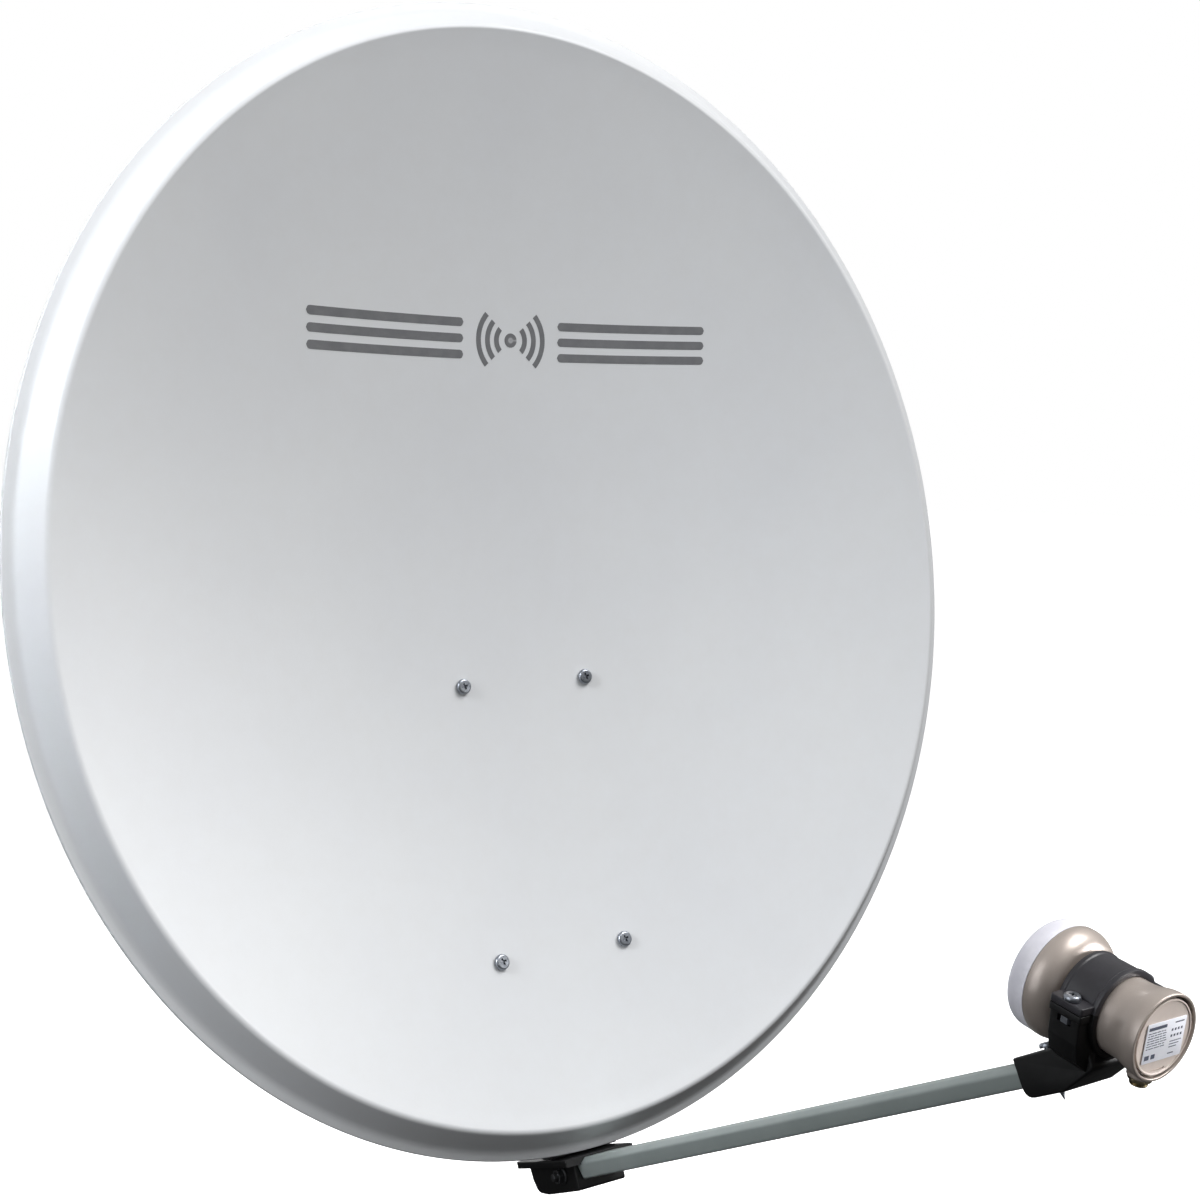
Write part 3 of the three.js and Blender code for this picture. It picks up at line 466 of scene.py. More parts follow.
def arm_paint():
    """Grey-green satin paint with faint drawing lines along the tube."""
    look = Look("arm_paint", Metallic=0.1, Specular_IOR_Level=0.5)
    cloud = look.noise(30.0, 4.0)
    base = look.ramp(cloud, [(0.3, srgb(143, 152, 150)), (0.7, srgb(151, 159, 157))])
    worn = look.ramp(cloud, [(0.3, srgb(150, 156, 156)), (0.7, srgb(160, 165, 165))])
    look.colour(look.blended(look.edges(0.53, 0.6), base, worn))
    look.gloss(look.span(look.noise(90.0, 5.0), 0.36, 0.5))
    look.bump(look.noise(900.0, 2.0, stretch=(1.0, 0.08, 0.08)), 0.00002, 0.5)
    look.bump(look.noise(1500.0, 2.0), 0.00001, 0.5)
    return look.material


def champagne():
    """Fine metallic paint."""
    look = Look("champagne", Metallic=0.45, Specular_IOR_Level=0.5, Coat_Weight=0.25, Coat_Roughness=0.18)
    cloud = look.noise(60.0, 4.0)
    flake = look.cells(9000.0, output="Color")
    base = look.ramp(cloud, [(0.3, srgb(174, 163, 155)), (0.7, srgb(182, 171, 163))])
    bright = look.ramp(flake, [(0.0, srgb(164, 152, 144)), (1.0, srgb(202, 192, 184))])
    look.colour(look.blended(look.span(look.noise(300.0, 3.0), 0.15, 0.45), base, bright))
    look.gloss(look.span(look.noise(140.0, 4.0), 0.3, 0.42))
    look.bump(look.noise(1800.0, 2.0), 0.00001, 0.6)
    return look.material


def plastic(name, low, high, rough, grain=2600.0, depth=0.00003, specular=0.5):
    """Moulded plastic with a spark-eroded grain and slightly rubbed edges."""
    look = Look(name, Metallic=0.0, Specular_IOR_Level=specular)
    cloud = look.noise(80.0, 5.0, 0.65)
    base = look.ramp(cloud, [(0.3, low), (0.7, high)])
    lifted = tuple(value * 1.6 + 0.01 for value in high)
    rubbed = look.ramp(cloud, [(0.3, high), (0.7, lifted)])
    look.colour(look.blended(look.edges(0.54, 0.64), base, rubbed))
    look.gloss(look.span(look.noise(260.0, 5.0), rough[0], rough[1]))
    look.bump(look.noise(grain, 3.0, 0.6), depth, 0.6)
    return look.material


def black_steel():
    """Black coated steel, rubbed thin on its edges."""
    look = Look("black_steel", Metallic=0.2, Specular_IOR_Level=0.5)
    cloud = look.noise(45.0, 5.0)
    base = look.ramp(cloud, [(0.3, srgb(34, 35, 37)), (0.7, srgb(43, 44, 46))])
    worn = look.ramp(look.noise(500.0, 4.0), [(0.35, srgb(52, 53, 55)), (0.65, srgb(104, 106, 108))])
    look.colour(look.blended(look.edges(0.55, 0.66), base, worn))
    look.gloss(look.span(look.noise(120.0, 5.0), 0.4, 0.56))
    look.bump(look.noise(1100.0, 2.0), 0.00003, 0.5)
    return look.material


def galvanised():
    """Dip-galvanised steel with a soft spangle and duller patches."""
    look = Look("galvanised", Metallic=0.75, Specular_IOR_Level=0.5)
    spangle = look.cells(190.0, output="Color")
    cloud = look.noise(28.0, 5.0, 0.65)
    flakes = look.ramp(spangle, [(0.0, srgb(158, 162, 165)), (0.5, srgb(172, 176, 178)),
                                 (1.0, srgb(186, 189, 191))])
    dull = look.ramp(cloud, [(0.35, srgb(150, 153, 154)), (0.65, srgb(178, 181, 182))])
    look.colour(look.blended(look.span(cloud, 0.35, 0.75), flakes, dull))
    look.gloss(look.span(look.noise(150.0, 5.0, 0.7), 0.36, 0.56))
    look.bump(look.noise(700.0, 4.0), 0.00004, 0.5)
    return look.material


def zinc():
    """Bright zinc plate with fine handling marks, and painted shade darkening its concave hollows."""
    look = Look("zinc", Metallic=0.95, Specular_IOR_Level=0.5)
    cloud = look.noise(160.0, 5.0, 0.65)
    plate = look.ramp(cloud, [(0.3, srgb(142, 147, 156)), (0.7, srgb(166, 170, 176))])
    # painted shade: a much darker zinc laid into concave hollows, such as the cross recess and the thread
    # roots, which low pointiness picks out
    painted_hollow_shade = look.ramp(cloud, [(0.3, srgb(84, 87, 92)), (0.7, srgb(104, 107, 112))])
    look.colour(look.blended(look.edges(0.5, 0.44), plate, painted_hollow_shade))
    look.gloss(look.span(look.noise(700.0, 4.0), 0.26, 0.4))
    look.bump(look.noise(1400.0, 3.0), 0.00001, 0.5)
    return look.material


def cast_metal():
    look = Look("die_cast", Metallic=0.8)
    cloud = look.noise(300.0, 5.0, 0.7)
    look.colour(look.ramp(cloud, [(0.3, srgb(148, 150, 152)), (0.7, srgb(172, 174, 176))]))
    look.gloss(look.span(cloud, 0.4, 0.6))
    look.bump(look.noise(1600.0, 4.0, 0.7), 0.00005, 0.6)
    return look.material


def brass():
    look = Look("socket_metal", Metallic=0.95)
    cloud = look.noise(400.0, 4.0)
    look.colour(look.ramp(cloud, [(0.3, srgb(158, 146, 116)), (0.7, srgb(176, 165, 138))]))
    look.gloss(look.span(cloud, 0.22, 0.36))
    look.bump(look.noise(2600.0, 3.0), 0.00001, 0.5)
    return look.material


def board():
    look = Look("board_green", Specular_IOR_Level=0.5)
    cloud = look.noise(500.0, 4.0)
    look.colour(look.ramp(cloud, [(0.3, srgb(36, 92, 48)), (0.7, srgb(52, 116, 62))]))
    look.gloss(look.span(cloud, 0.3, 0.45))
    look.bump(look.cells(900.0), 0.00003, 0.4)
    return look.material


def ink(name, low, high, rough):
    """Screen-printed ink."""
    look = Look(name, Specular_IOR_Level=0.4)
    cloud = look.noise(120.0, 5.0)
    look.colour(look.ramp(cloud, [(0.3, low), (0.7, high)]))
    look.gloss(look.span(look.noise(400.0, 4.0), rough, rough + 0.1))
    look.bump(look.noise(1800.0, 3.0), 0.00001, 0.5)
    return look.material


LOOKS = {
    "dish_paint": dish_paint(),
    "galvanised": galvanised(),
    "zinc": zinc(),
    "arm_paint": arm_paint(),
    "black_plastic": plastic("black_plastic", srgb(9, 9, 10), srgb(14, 14, 15), (0.4, 0.52),
                             specular=0.35),
    "black_steel": black_steel(),
    "champagne": champagne(),
    "white_cap": plastic("white_cap", srgb(217, 216, 225), srgb(224, 223, 230), (0.38, 0.5),
                         1800.0, 0.00001),
    "label_film": plastic("label_film", srgb(240, 241, 250), srgb(246, 247, 253), (0.3, 0.42),
                          900.0, 0.00001),
    "die_cast": cast_metal(),
    "board_green": board(),
    "brass": brass(),
}
# painted light: a lighter copy of the black plastic that stands for the overhead light falling on the strap;
# the holder keeps the darker black plastic
PAINTED_LIT_STRAP_PLASTIC = plastic("strap_plastic_painted_lit", srgb(38, 37, 41), srgb(47, 46, 51), (0.32, 0.44))
COVER_PLASTIC = plastic("cover_plastic", srgb(205, 192, 184), srgb(212, 200, 192), (0.34, 0.46),
                        2200.0, 0.00001)
EMBLEM_INK = ink("emblem_ink", srgb(108, 109, 112), srgb(118, 119, 121), 0.45)
LABEL_INK = ink("label_ink", srgb(70, 74, 92), srgb(92, 96, 112), 0.4)

for entry in frame["record"]["subparts"]:
    cad = frame["nodes"][entry["node"]]
    cad.data.materials.clear()
    cad.data.materials.append(LOOKS[entry["material_slot"]])

# Sheet-metal and cast CAD pieces keep their shape and get rounded edges
EDGE_RADIUS = dict.fromkeys(("back_frame", "elevation_ear_left", "elevation_ear_right", "mast_bracket"), 0.5)
EDGE_RADIUS |= dict.fromkeys(("clamp_jaw_upper", "clamp_jaw_lower", "pivot_spacer"), 0.6)
EDGE_RADIUS |= {f"standoff_{corner}": 0.5 for corner in CORNERS}
for node, radius in EDGE_RADIUS.items():
    cad = frame["nodes"][node]
    weld = cad.modifiers.new("weld", "WELD")
    weld.merge_threshold = 0.000005
    bevel = cad.modifiers.new("round_edges", "BEVEL")
    bevel.width = radius * MM
    bevel.segments = 2
    bevel.limit_method = "ANGLE"
    bevel.angle_limit = math.radians(35)
    bevel.use_clamp_overlap = True
    bevel.harden_normals = True


# ---------------------------------------------------------------- reflector
def rim_profile():
    """(outwards, backwards) of the front skin from the fold to the hem."""
    fold = []
    for i in range(13):
        angle = math.radians(-20 + (SKIRT_ANGLE + 20) * i / 12)
        fold.append((FOLD_RADIUS * math.sin(angle), FOLD_RADIUS * (1 - math.cos(angle))))
    rest = filleted([fold[-1], SKIRT, LIP, (HEM[0], LIP[1] + 0.9), HEM],
                    [0, 14, 0.7, 0.6, 0], steps=7, closed=False)
    skirt = [Vector(fold[-1]).lerp(rest[1], i / 4) for i in range(1, 4)]
    return [Vector(p) for p in fold] + skirt + rest[1:]


def offset_inwards(points, distance):
    """The profile moved to its inner side, square to itself."""
    moved = []
    for i, point in enumerate(points):
        along = points[min(i + 1, len(points) - 1)] - points[max(i - 1, 0)]
        along.normalize()
        moved.append(point + Vector((-along.y, along.x)) * distance)
    return moved


def rim_loop(out, back, count):
    loop = []
    for i in range(count):
        angle = 2 * math.pi * i / count
        outward = Vector((math.cos(angle) / HALF_WIDTH, math.sin(angle) / HALF_HEIGHT)).normalized()
        edge = Vector((HALF_WIDTH * math.cos(angle), HALF_HEIGHT * math.sin(angle))) + outward * out
        loop.append((edge.x, edge.y, -back))
    return loop


def bowl_loop(ratio, depth, count):
    loop = []
    for i in range(count):
        angle = 2 * math.pi * i / count
        u = ratio * HALF_WIDTH * math.cos(angle)
        v = ratio * HALF_HEIGHT * math.sin(angle)
        loop.append(bowl_point(u, v) - bowl_normal(u, v) * depth)
    return loop


def reflector():
    count = 256
    ratios = [0.04 * i for i in range(1, 25)] + [0.985]
    rim = rim_profile()
    inner = offset_inwards(rim, SHEET)
    front = [bowl_loop(ratio, 0, count) for ratio in ratios]
    front += [rim_loop(p.x, p.y, count) for p in rim]
    behind = [rim_loop(p.x, p.y, count) for p in reversed(inner)]
    behind += [bowl_loop(ratio, SHEET, count) for ratio in reversed(ratios)]
    centre = bowl_point(0, 0)
    return skin(front + behind, first_pole=centre, last_pole=centre - bowl_normal(0, 0) * SHEET)


piece("reflector_shell", reflector(), APERTURE, LOOKS["dish_paint"], "dish",
      ["reflector"], crease=40)


def printed_patch(shape_at, steps_s, steps_t):
    """A thin closed film on the bowl; shape_at(s, t) gives its (u, v)."""
    bm = bmesh.new()
    layers = []
    for lift in INK_LIFTS:
        layer = []
        for i in range(steps_s + 1):
            row = []
            for j in range(steps_t + 1):
                u, v = shape_at(i / steps_s, j / steps_t)
                row.append(bm.verts.new(bowl_point(u, v) + bowl_normal(u, v) * lift))
            layer.append(row)
        layers.append(layer)
    low, high = layers
    for i in range(steps_s):
        for j in range(steps_t):
            for layer in layers:
                bm.faces.new((layer[i][j], layer[i + 1][j], layer[i + 1][j + 1], layer[i][j + 1]))
    border = [(i, 0) for i in range(steps_s)] + [(steps_s, j) for j in range(steps_t)]
    border += [(i, steps_t) for i in range(steps_s, 0, -1)] + [(0, j) for j in range(steps_t, 0, -1)]
    for (i, j), (k, m) in zip(border, border[1:] + border[:1]):
        bm.faces.new((low[i][j], low[k][m], high[k][m], high[i][j]))
    bmesh.ops.remove_doubles(bm, verts=bm.verts, dist=0.01)
    bmesh.ops.recalc_face_normals(bm, faces=bm.faces)
    return bm


def on_bowl(u, height):
    """(u, v) of the bowl's point that lies this high above the middle of the aperture."""
    v = height
    for _ in range(12):
        v = height + (1 - (u / HALF_WIDTH) ** 2 - (v / HALF_HEIGHT) ** 2) * BOWL_DEPTH * beam_sin
    return u, v


def sector(inner, outer, start, end):
    """A piece of a ring round the emblem's centre, between two angles in degrees."""
    def shape_at(s, t):
        angle = math.radians(start + (end - start) * s)
        radius = inner + (outer - inner) * t
        return on_bowl(radius * math.cos(angle), EMBLEM_HEIGHT + radius * math.sin(angle))
    return shape_at


def bar(u0, u1, height, thickness):
    """A level bar with round ends."""
    def shape_at(s, t):
        u = u0 + (u1 - u0) * s
        from_end = min(abs(u - u0), abs(u1 - u))
        half = thickness / 2
        if from_end < half:
            half = math.sqrt(max(0.0, half ** 2 - (half - from_end) ** 2))
        return on_bowl(u, EMBLEM_HEIGHT + height + (2 * t - 1) * half)
    return shape_at


def emblem():
    """A dot with radio waves either side of it, between rows of level bars."""
    parts = [printed_patch(sector(0, 5.4, 0, 359.9), 36, 2)]
    for inner in WAVE_RADII:
        for start in (-WAVE_HALF_ANGLE, 180 - WAVE_HALF_ANGLE):
            arc = sector(inner, inner + WAVE_WIDTH, start, start + 2 * WAVE_HALF_ANGLE)
            parts.append(printed_patch(arc, 24, 1))
    near, far = BAR_SPAN
    for side in (-1, 1):
        for height in BAR_HEIGHTS:
            level = bar(side * near, side * far, height, BAR_THICKNESS)
            parts.append(printed_patch(level, 120, 1))
    return joined(*parts)


piece("bowl_emblem", emblem(), APERTURE, EMBLEM_INK, "dish")


# ---------------------------------------------------------------- fasteners
def hexagon(corner):
    def radius(angle):
        sector_angle = angle % (math.pi / 3) - math.pi / 6
        return corner * math.cos(math.pi / 6) / math.cos(sector_angle)
    return radius


def clipped(shape, limit):
    return lambda angle: min(shape(angle), limit)


def thread_loops(radius, pitch, low, high, count):
    """Loops of a screw thread between two heights, low to high."""
    steps = max(2, round((high - low) / (pitch / 6)))
    loops = []
    for i in range(steps + 1):
        z = low + (high - low) * i / steps

        def ridge(angle, z=z):
            phase = (z / pitch - angle / (2 * math.pi)) % 1.0
            return radius - 0.55 * pitch * abs(phase - 0.5)
        loops.append(circle(ridge, z, count))
    return loops


def shank_loops(radius, pitch, length, threaded, count):
    """The shank from its tip at -length up to the head at 0."""
    top = -length + threaded
    loops = [circle(radius - 0.7 * pitch, -length, count)]
    loops += thread_loops(radius, pitch, -length + 0.6 * pitch, top, count)
    loops += [circle(radius, top + 0.5, count), circle(radius, 0, count)]
    return loops


def hex_loops(size, height, count):
    """A flanged hexagon standing on z = 0, bottom to top."""
    corner = hexagon(size * 0.93)
    return [
        circle(size * 1.01, 0, count),
        circle(size * 1.05, size * 0.05, count),
        circle(size * 1.04, size * 0.12, count),
        circle(size * 0.96, size * 0.2, count),
        circle(corner, size * 0.24, count),
        circle(clipped(corner, size * 0.925), height - size * 0.12, count),
        circle(clipped(corner, size * 0.88), height - size * 0.04, count),
        circle(clipped(corner, size * 0.78), height, count),
    ]


def flange_bolt(size, shank, pitch, length, threaded):
    count = 48
    height = size * 0.8
    loops = shank_loops(shank, pitch, length, threaded, count) + hex_loops(size, height, count)
    loops += [circle(size * 0.6, height, count), circle(size * 0.5, height - 0.25, count)]
    return skin(loops, first_pole=(0, 0, -length), last_pole=(0, 0, height - 0.25))


def flange_nut(size, bore):
    count = 48
    height = size * 0.95
    loops = hex_loops(size, height, count)
    loops += [circle(bore + 0.5, height, count), circle(bore, height - 0.6, count),
              circle(bore, 0.6, count), circle(bore + 0.5, 0, count)]
    return skin(loops, closed=True)


def carriage_bolt(shank, pitch, length, threaded):
    count = 40
    loops = shank_loops(shank, pitch, length, threaded, count)
    for radius, z in ((9.2, 0), (9.5, 0.4), (9.4, 0.9), (8.6, 1.9), (7.2, 2.9), (5.2, 3.7), (2.6, 4.1)):
        loops.append(circle(radius, z, count))
    return skin(loops, first_pole=(0, 0, -length), last_pole=(0, 0, 4.2))


def pan_screw(radius, height, shank, pitch, length, point=0.0):
    """Pan head with a cross recess; point is the length of a self-tapping tip."""
    count = 40
    loops = []
    tip = 0.2
    if point:
        loops.append(circle(tip, -length, count))
        for i in range(1, 12):
            loops.append(circle(tip + (shank - 0.5) * i / 12, -length + point * i / 12, count))
    start = -length + point
    loops += thread_loops(shank, pitch, start, -1.5, count)
    loops += [circle(shank, -1.0, count), circle(shank, 0, count), circle(radius * 0.97, 0, count)]
    for i in range(9):
        angle = math.pi / 2 * i / 8
        loops.append(circle(radius * (0.7 + 0.3 * math.cos(angle)),
                            height * (0.28 + 0.72 * math.sin(angle)), count))
    loops.append(circle(radius * 0.3, height, count))
    head = skin(loops, first_pole=(0, 0, -length), last_pole=(0, 0, height))
    wide = radius * 0.26
    for size_x, size_y in ((radius, wide), (wide, radius)):
        blade = slab(oblong(size_x, size_y), height * 0.35, height * 1.5)
        for vertex in blade.verts:
            if vertex.co.z < height:
                vertex.co.x *= 0.7
                vertex.co.y *= 0.7
        head = combined(head, blade, "DIFFERENCE")
    return head


def through_bolt(name, place, size, shank, pitch, half, y, z, body, slot="zinc"):
    """A bolt from +x to -x with its nut."""
    length = 2 * half + size + 3
    bolt_place = place @ shift(half, y, z) @ turn(90, "Y")
    nut_place = place @ shift(-half, y, z) @ turn(-90, "Y")
    piece(f"{name}_bolt_fine", flange_bolt(size, shank, pitch, length, size + 14), bolt_place,
          LOOKS[slot], body, [f"{name}_bolt"])
    piece(f"{name}_nut_fine", flange_nut(size, shank + GAP), nut_place, LOOKS[slot], body,
          [f"{name}_nut"])


back_normal = BACK.to_3x3() @ Vector((0, 0, 1))
for corner_name, seat in zip(CORNERS, SEATS):
    seat_axis = seat.to_3x3() @ Vector((0, 0, 1))
    cosine = min(1.0, seat_axis.dot(back_normal))
    reach = (STANDOFF + STEEL) / cosine + 8 * math.tan(math.acos(cosine)) + GAP
    piece(f"dish_screw_{corner_name}", pan_screw(6, 3.0, 2.9, 1.0, 32),
          seat @ shift(0, 0, SEAT_GAP) @ turn(20, "Z"), LOOKS["zinc"], "dish",
          [f"reflector_screw_{corner_name}"])
    piece(f"dish_nut_{corner_name}", flange_nut(6, 2.9 + GAP),
          seat @ shift(0, 0, -reach) @ turn(180, "X"), LOOKS["zinc"], "dish",
          [f"reflector_nut_{corner_name}"])

for ear_name, ear_y in zip(("ear_upper", "ear_lower"), EAR_BOLT_Y):
    ear_place = BACK @ Vector((0, ear_y, EAR_BOLT_Z))
    through_bolt(ear_name, PART, 8, 4, 1.25, EAR_OUTER + GAP, ear_place.y, ear_place.z, "dish")
through_bolt("elevation_lock", PART, 8, 4, 1.25, WALL_OUTER + GAP, *LOCK_BOLT, "dish")
through_bolt("elevation_pivot", PART, 10, 5, 1.5, WALL_OUTER + GAP, *PIVOT, "mast_clamp")
through_bolt("carrier", BACK, 6, 3, 1.0, CHANNEL_HALF + GAP, *CARRIER_BOLT, "dish")
through_bolt("arm", ARM, 6, 3, 1.0, HOUSING_HALF + GAP, *ARM_BOLT, "dish", "black_steel")

for side_name, side in (("left", -1), ("right", 1)):
    for level_name, level in (("lower", -1), ("upper", 1)):
        name = f"{level_name}_{side_name}"
        x, z = side * CLAMP_BOLT_X, level * CLAMP_BOLT_Z
        piece(f"carriage_bolt_{name}", carriage_bolt(4, 1.25, 104, 66),
              shift(x, WEB_Y - 3 - GAP, z) @ turn(90, "X"), LOOKS["zinc"], "mast_clamp",
              [f"clamp_bolt_{name}"])
        piece(f"clamp_nut_fine_{name}", flange_nut(8, 4 + GAP),
              shift(x, JAW_BACK_Y + GAP, z) @ turn(-90, "X"), LOOKS["zinc"], f"{level_name}_jaw",
              [f"clamp_nut_{name}"])


# ---------------------------------------------------------------- feed arm
def arm_section(s, grow, steps=4):
    """Six-sided section of the arm with rounded corners, at distance s along it."""
    ratio = s / 440
    top = 9.45 - ratio + grow
    bottom = -5.45 + 1.65 * ratio - grow
    waist = top - 0.27 * (top - bottom)
    narrow = 1 - 0.1 * ratio
    half = [(13 * narrow + grow * 0.5, top), (17.2 * narrow + grow * 1.1, waist),
            (14.6 * narrow + grow * 0.8, bottom)]
    other = [(-x, y) for x, y in reversed(half)]
    corner = 2.4 if grow >= 0 else 1.2
    return [Vector((p.x, p.y, s)) for p in filleted(half + other, corner, steps)]


def arm_tube():
    stations = [ARM_START + (ARM_END - ARM_START) * i / 24 for i in range(25)]
    outside = [arm_section(s, 0) for s in stations]
    inside = [arm_section(s, -ARM_WALL) for s in reversed(stations)]
    return skin(outside + inside, closed=True)


def arm_core(low, high, grow):
    first, last = arm_section(low, grow), arm_section(high, grow)
    middle = [sum((p for p in loop), Vector()) / len(loop) for loop in (first, last)]
    return skin([first, last], first_pole=middle[0], last_pole=middle[1])


piece("arm_tube", arm_tube(), ARM, LOOKS["arm_paint"], "dish", ["feed_arm"])


def housing():
    """Moulded carrier under the rim: a body, a flat flange and a spine into the back frame."""
    side = filleted([(-12.6, -9.7), (-11.3, -57), (-8.5, -72), (1, -76.4), (14, -78), (8.3, -9.7)],
                    [2.5, 20, 9, 0, 2, 1], steps=6)
    body = placed(slab(side, -HOUSING_HALF, HOUSING_HALF, 3.0, 5), SIDE_ON)
    flange = placed(slab([(5.4, -4.2), (10.7, -4.2), (17.4, -79.2), (12, -79.2)],
                         -FLANGE_HALF, FLANGE_HALF, 1.2), SIDE_ON)
    spine = block(48, 44, 18, 0, CHANNEL_BOTTOM + 18, -STANDOFF - STEEL - 9.8)
    bmesh.ops.bevel(spine, geom=spine.edges[:], offset=1.0, segments=2, affect="EDGES", profile=0.5)
    spine = placed(spine, ARM.inverted() @ BACK)
    whole = combined(combined(body, flange, "UNION"), spine, "UNION")
    return combined(whole, arm_core(ARM_START - 0.8, 20, GAP), "DIFFERENCE")


piece("arm_carrier", housing(), ARM, LOOKS["black_plastic"], "dish", ["arm_housing"])


# ---------------------------------------------------------------- feed holder and strap
def half_ring(profile, start, end, count=48):
    """A closed profile of (radius, z) swept round the axis between two angles, in degrees."""
    bm = bmesh.new()
    rows = []
    for i in range(count + 1):
        angle = math.radians(start + (end - start) * i / count)
        rows.append([bm.verts.new((r * math.cos(angle), r * math.sin(angle), z)) for r, z in profile])
    size = len(profile)
    for low, high in zip(rows, rows[1:]):
        for i in range(size):
            j = (i + 1) % size
            bm.faces.new((low[i], low[j], high[j], high[i]))
    bm.faces.new(rows[0])
    bm.faces.new(list(reversed(rows[-1])))
    bmesh.ops.recalc_face_normals(bm, faces=bm.faces)
    return bm


def band_profile(ridge):
    """Section of the clamp ring: a band whose two edges stand up by ridge."""
    outer = RING_OUTER
    corners_of_band = [
        (RING_INNER, RING_FRONT), (outer + ridge, RING_FRONT), (outer + ridge, RING_FRONT + 2.6),
        (outer, RING_FRONT + 3.4), (outer, RING_BACK - 3.4), (outer + ridge, RING_BACK - 2.6),
        (outer + ridge, RING_BACK), (RING_INNER, RING_BACK),
    ]
    return [tuple(p) for p in filleted(corners_of_band, [0.3, 0.8, 0.8, 0.8, 0.8, 0.8, 0.8, 0.3], 3)]


def ear_plate(low, high):
    """The two ears as one plate; the ring's bore is cut from it afterwards."""
    half = EAR_U + EAR_MARGIN
    front, rear = RING_MIDDLE - EAR_HALF_DEPTH, RING_MIDDLE + EAR_HALF_DEPTH
    shape = filleted([(-half, front), (half, front), (half, rear), (-half, rear)], 1.5, 5)
    plate = slab([(x, -z) for x, z in shape], low, high, 0.5)
    return placed(plate, UPRIGHT)


def neck_bore():
    return slab([(p[0], p[1]) for p in circle(RING_INNER, 0, 96)], -80, 20)


def strap():
    """The clamp's upper half; its ears have no screw holes."""
    start = math.degrees(math.asin(SPLIT / BAND_RADIUS))
    ring = half_ring(band_profile(0.6), start, 180 - start)
    whole = combined(ring, ear_plate(SPLIT, SPLIT + EAR_THICK), "UNION")
    return combined(whole, neck_bore(), "DIFFERENCE")


def holder():
    """The clamp's lower half on a box that closes the arm's end.

    Known fault: the finished mesh lacks its right ear, is not closed, and no hole is cut for
    the strap's screws.
    """
    side = filleted([(12.4, 457), (-8.8, 457.6), (-8.6, 485), (-1.2, 508.5), (22, 512),
                     (24, 497), (15.4, 491), (13, 484)], [1.5, 7, 3, 4, 3, 3, 3, 3], steps=5)
    box = placed(slab(side, -18.6, 18.6, 1.8), LNB.inverted() @ ARM @ SIDE_ON)
    box = cut_above(box, SPLIT - GAP)
    start = 180 + math.degrees(math.asin((GAP - SPLIT) / BAND_RADIUS))
    ring = half_ring(band_profile(0.0), start, 540 - start)
    whole = combined(box, ring, "UNION")
    saddle = filleted([(-30.8, 1.8), (-29.8, -12), (-27, -22), (-18, -29),
                       (18, -29), (27, -22), (29.8, -12), (30.8, 1.8)], [0, 6, 5, 5, 5, 5, 6, 0], 4)
    depth = EAR_HALF_DEPTH - 0.8
    whole = combined(whole, slab(saddle, RING_MIDDLE - depth, RING_MIDDLE + depth, 0.8), "UNION")
    whole = combined(whole, ear_plate(NUT_TOP + GAP, SPLIT - GAP), "UNION")
    for side in (-1, 1):
        slot_height = NUT_HEIGHT + 2 * GAP
        slot = block(12, slot_height, 8.6, side * (EAR_U + 1.4),
                     NUT_TOP + GAP - slot_height / 2, RING_MIDDLE)
        whole = combined(whole, slot, "DIFFERENCE")
    whole = combined(whole, neck_bore(), "DIFFERENCE")
    cavity = placed(arm_core(450, ARM_END + 0.6, GAP), LNB.inverted() @ ARM)
    return combined(whole, cavity, "DIFFERENCE")


# the strap takes the lighter copy of the black plastic, painted light for the light falling on it from above
piece("feed_clamp_strap", strap(), LNB, PAINTED_LIT_STRAP_PLASTIC, "strap", ["clamp_strap"])
piece("feed_holder_box", holder(), LNB, LOOKS["black_plastic"], "dish", ["lnb_holder"])
piece("holder_screw_fine", pan_screw(4.4, 2.6, 2.1, 1.2, 27, 5),
      ARM @ shift(0, *HOLDER_SCREW) @ UPRIGHT, LOOKS["zinc"], "dish", ["holder_screw"])
for side_name, x in (("left", -EAR_U), ("right", EAR_U)):
    piece(f"strap_screw_fine_{side_name}", pan_screw(4.4, 2.6, 2.0, 0.7, 20),
          LNB @ shift(x, SPLIT + EAR_THICK + GAP, RING_MIDDLE) @ UPRIGHT @ turn(30, "Z"),
          LOOKS["zinc"], "strap", [f"strap_screw_{side_name}"])


# ---------------------------------------------------------------- feed
def curve_points(a, b, c, d, steps):
    """Points of a cubic curve."""
    points = []
    for i in range(steps + 1):
        t = i / steps
        weights = ((1 - t) ** 3, 3 * t * (1 - t) ** 2, 3 * t * t * (1 - t), t ** 3)
        points.append(sum((Vector(p) * w for p, w in zip((a, b, c, d), weights)), Vector((0, 0))))
    return points


def rear_housing():
    profile = [Vector((NECK, -49.2)), Vector((NECK, -30))]
    profile += curve_points((NECK, -18), (20.7, -11), (23, -9), (23, -3), 14)
    profile += filleted([(23, -3), (23, 0), (21.4, 0), (21.2, -4.2), (19.2, -4.8), (18.3, -18)],
                        [0, 0.7, 0.5, 0.3, 0.3, 0], 4, closed=False)[1:]
    profile += [Vector((18.3, -49.2))]
    body = lathe([tuple(p) for p in profile], 128)
    boss = placed(lathe([(0, 15), (6.3, 15), (6.6, 15.4), (6.6, 24.6), (6.2, 25.2), (0, 25.2)], 64),
                  shift(0, 0, SOCKET_Z) @ turn(90, "X"))
    boss = combined(boss, lathe([(0, -24), (25.6, -24), (25.6, -2.6), (0, -2.6)], 96), "INTERSECT")
    boss = combined(boss, lathe([(0, -30), (19.2, -30), (19.2, 5), (0, 5)], 96), "DIFFERENCE")
    whole = combined(body, boss, "UNION")
    hole = placed(lathe([(0, 10), (5, 10), (5, 40), (0, 40)], 48), shift(0, 0, SOCKET_Z) @ turn(90, "X"))
    return combined(whole, hole, "DIFFERENCE")


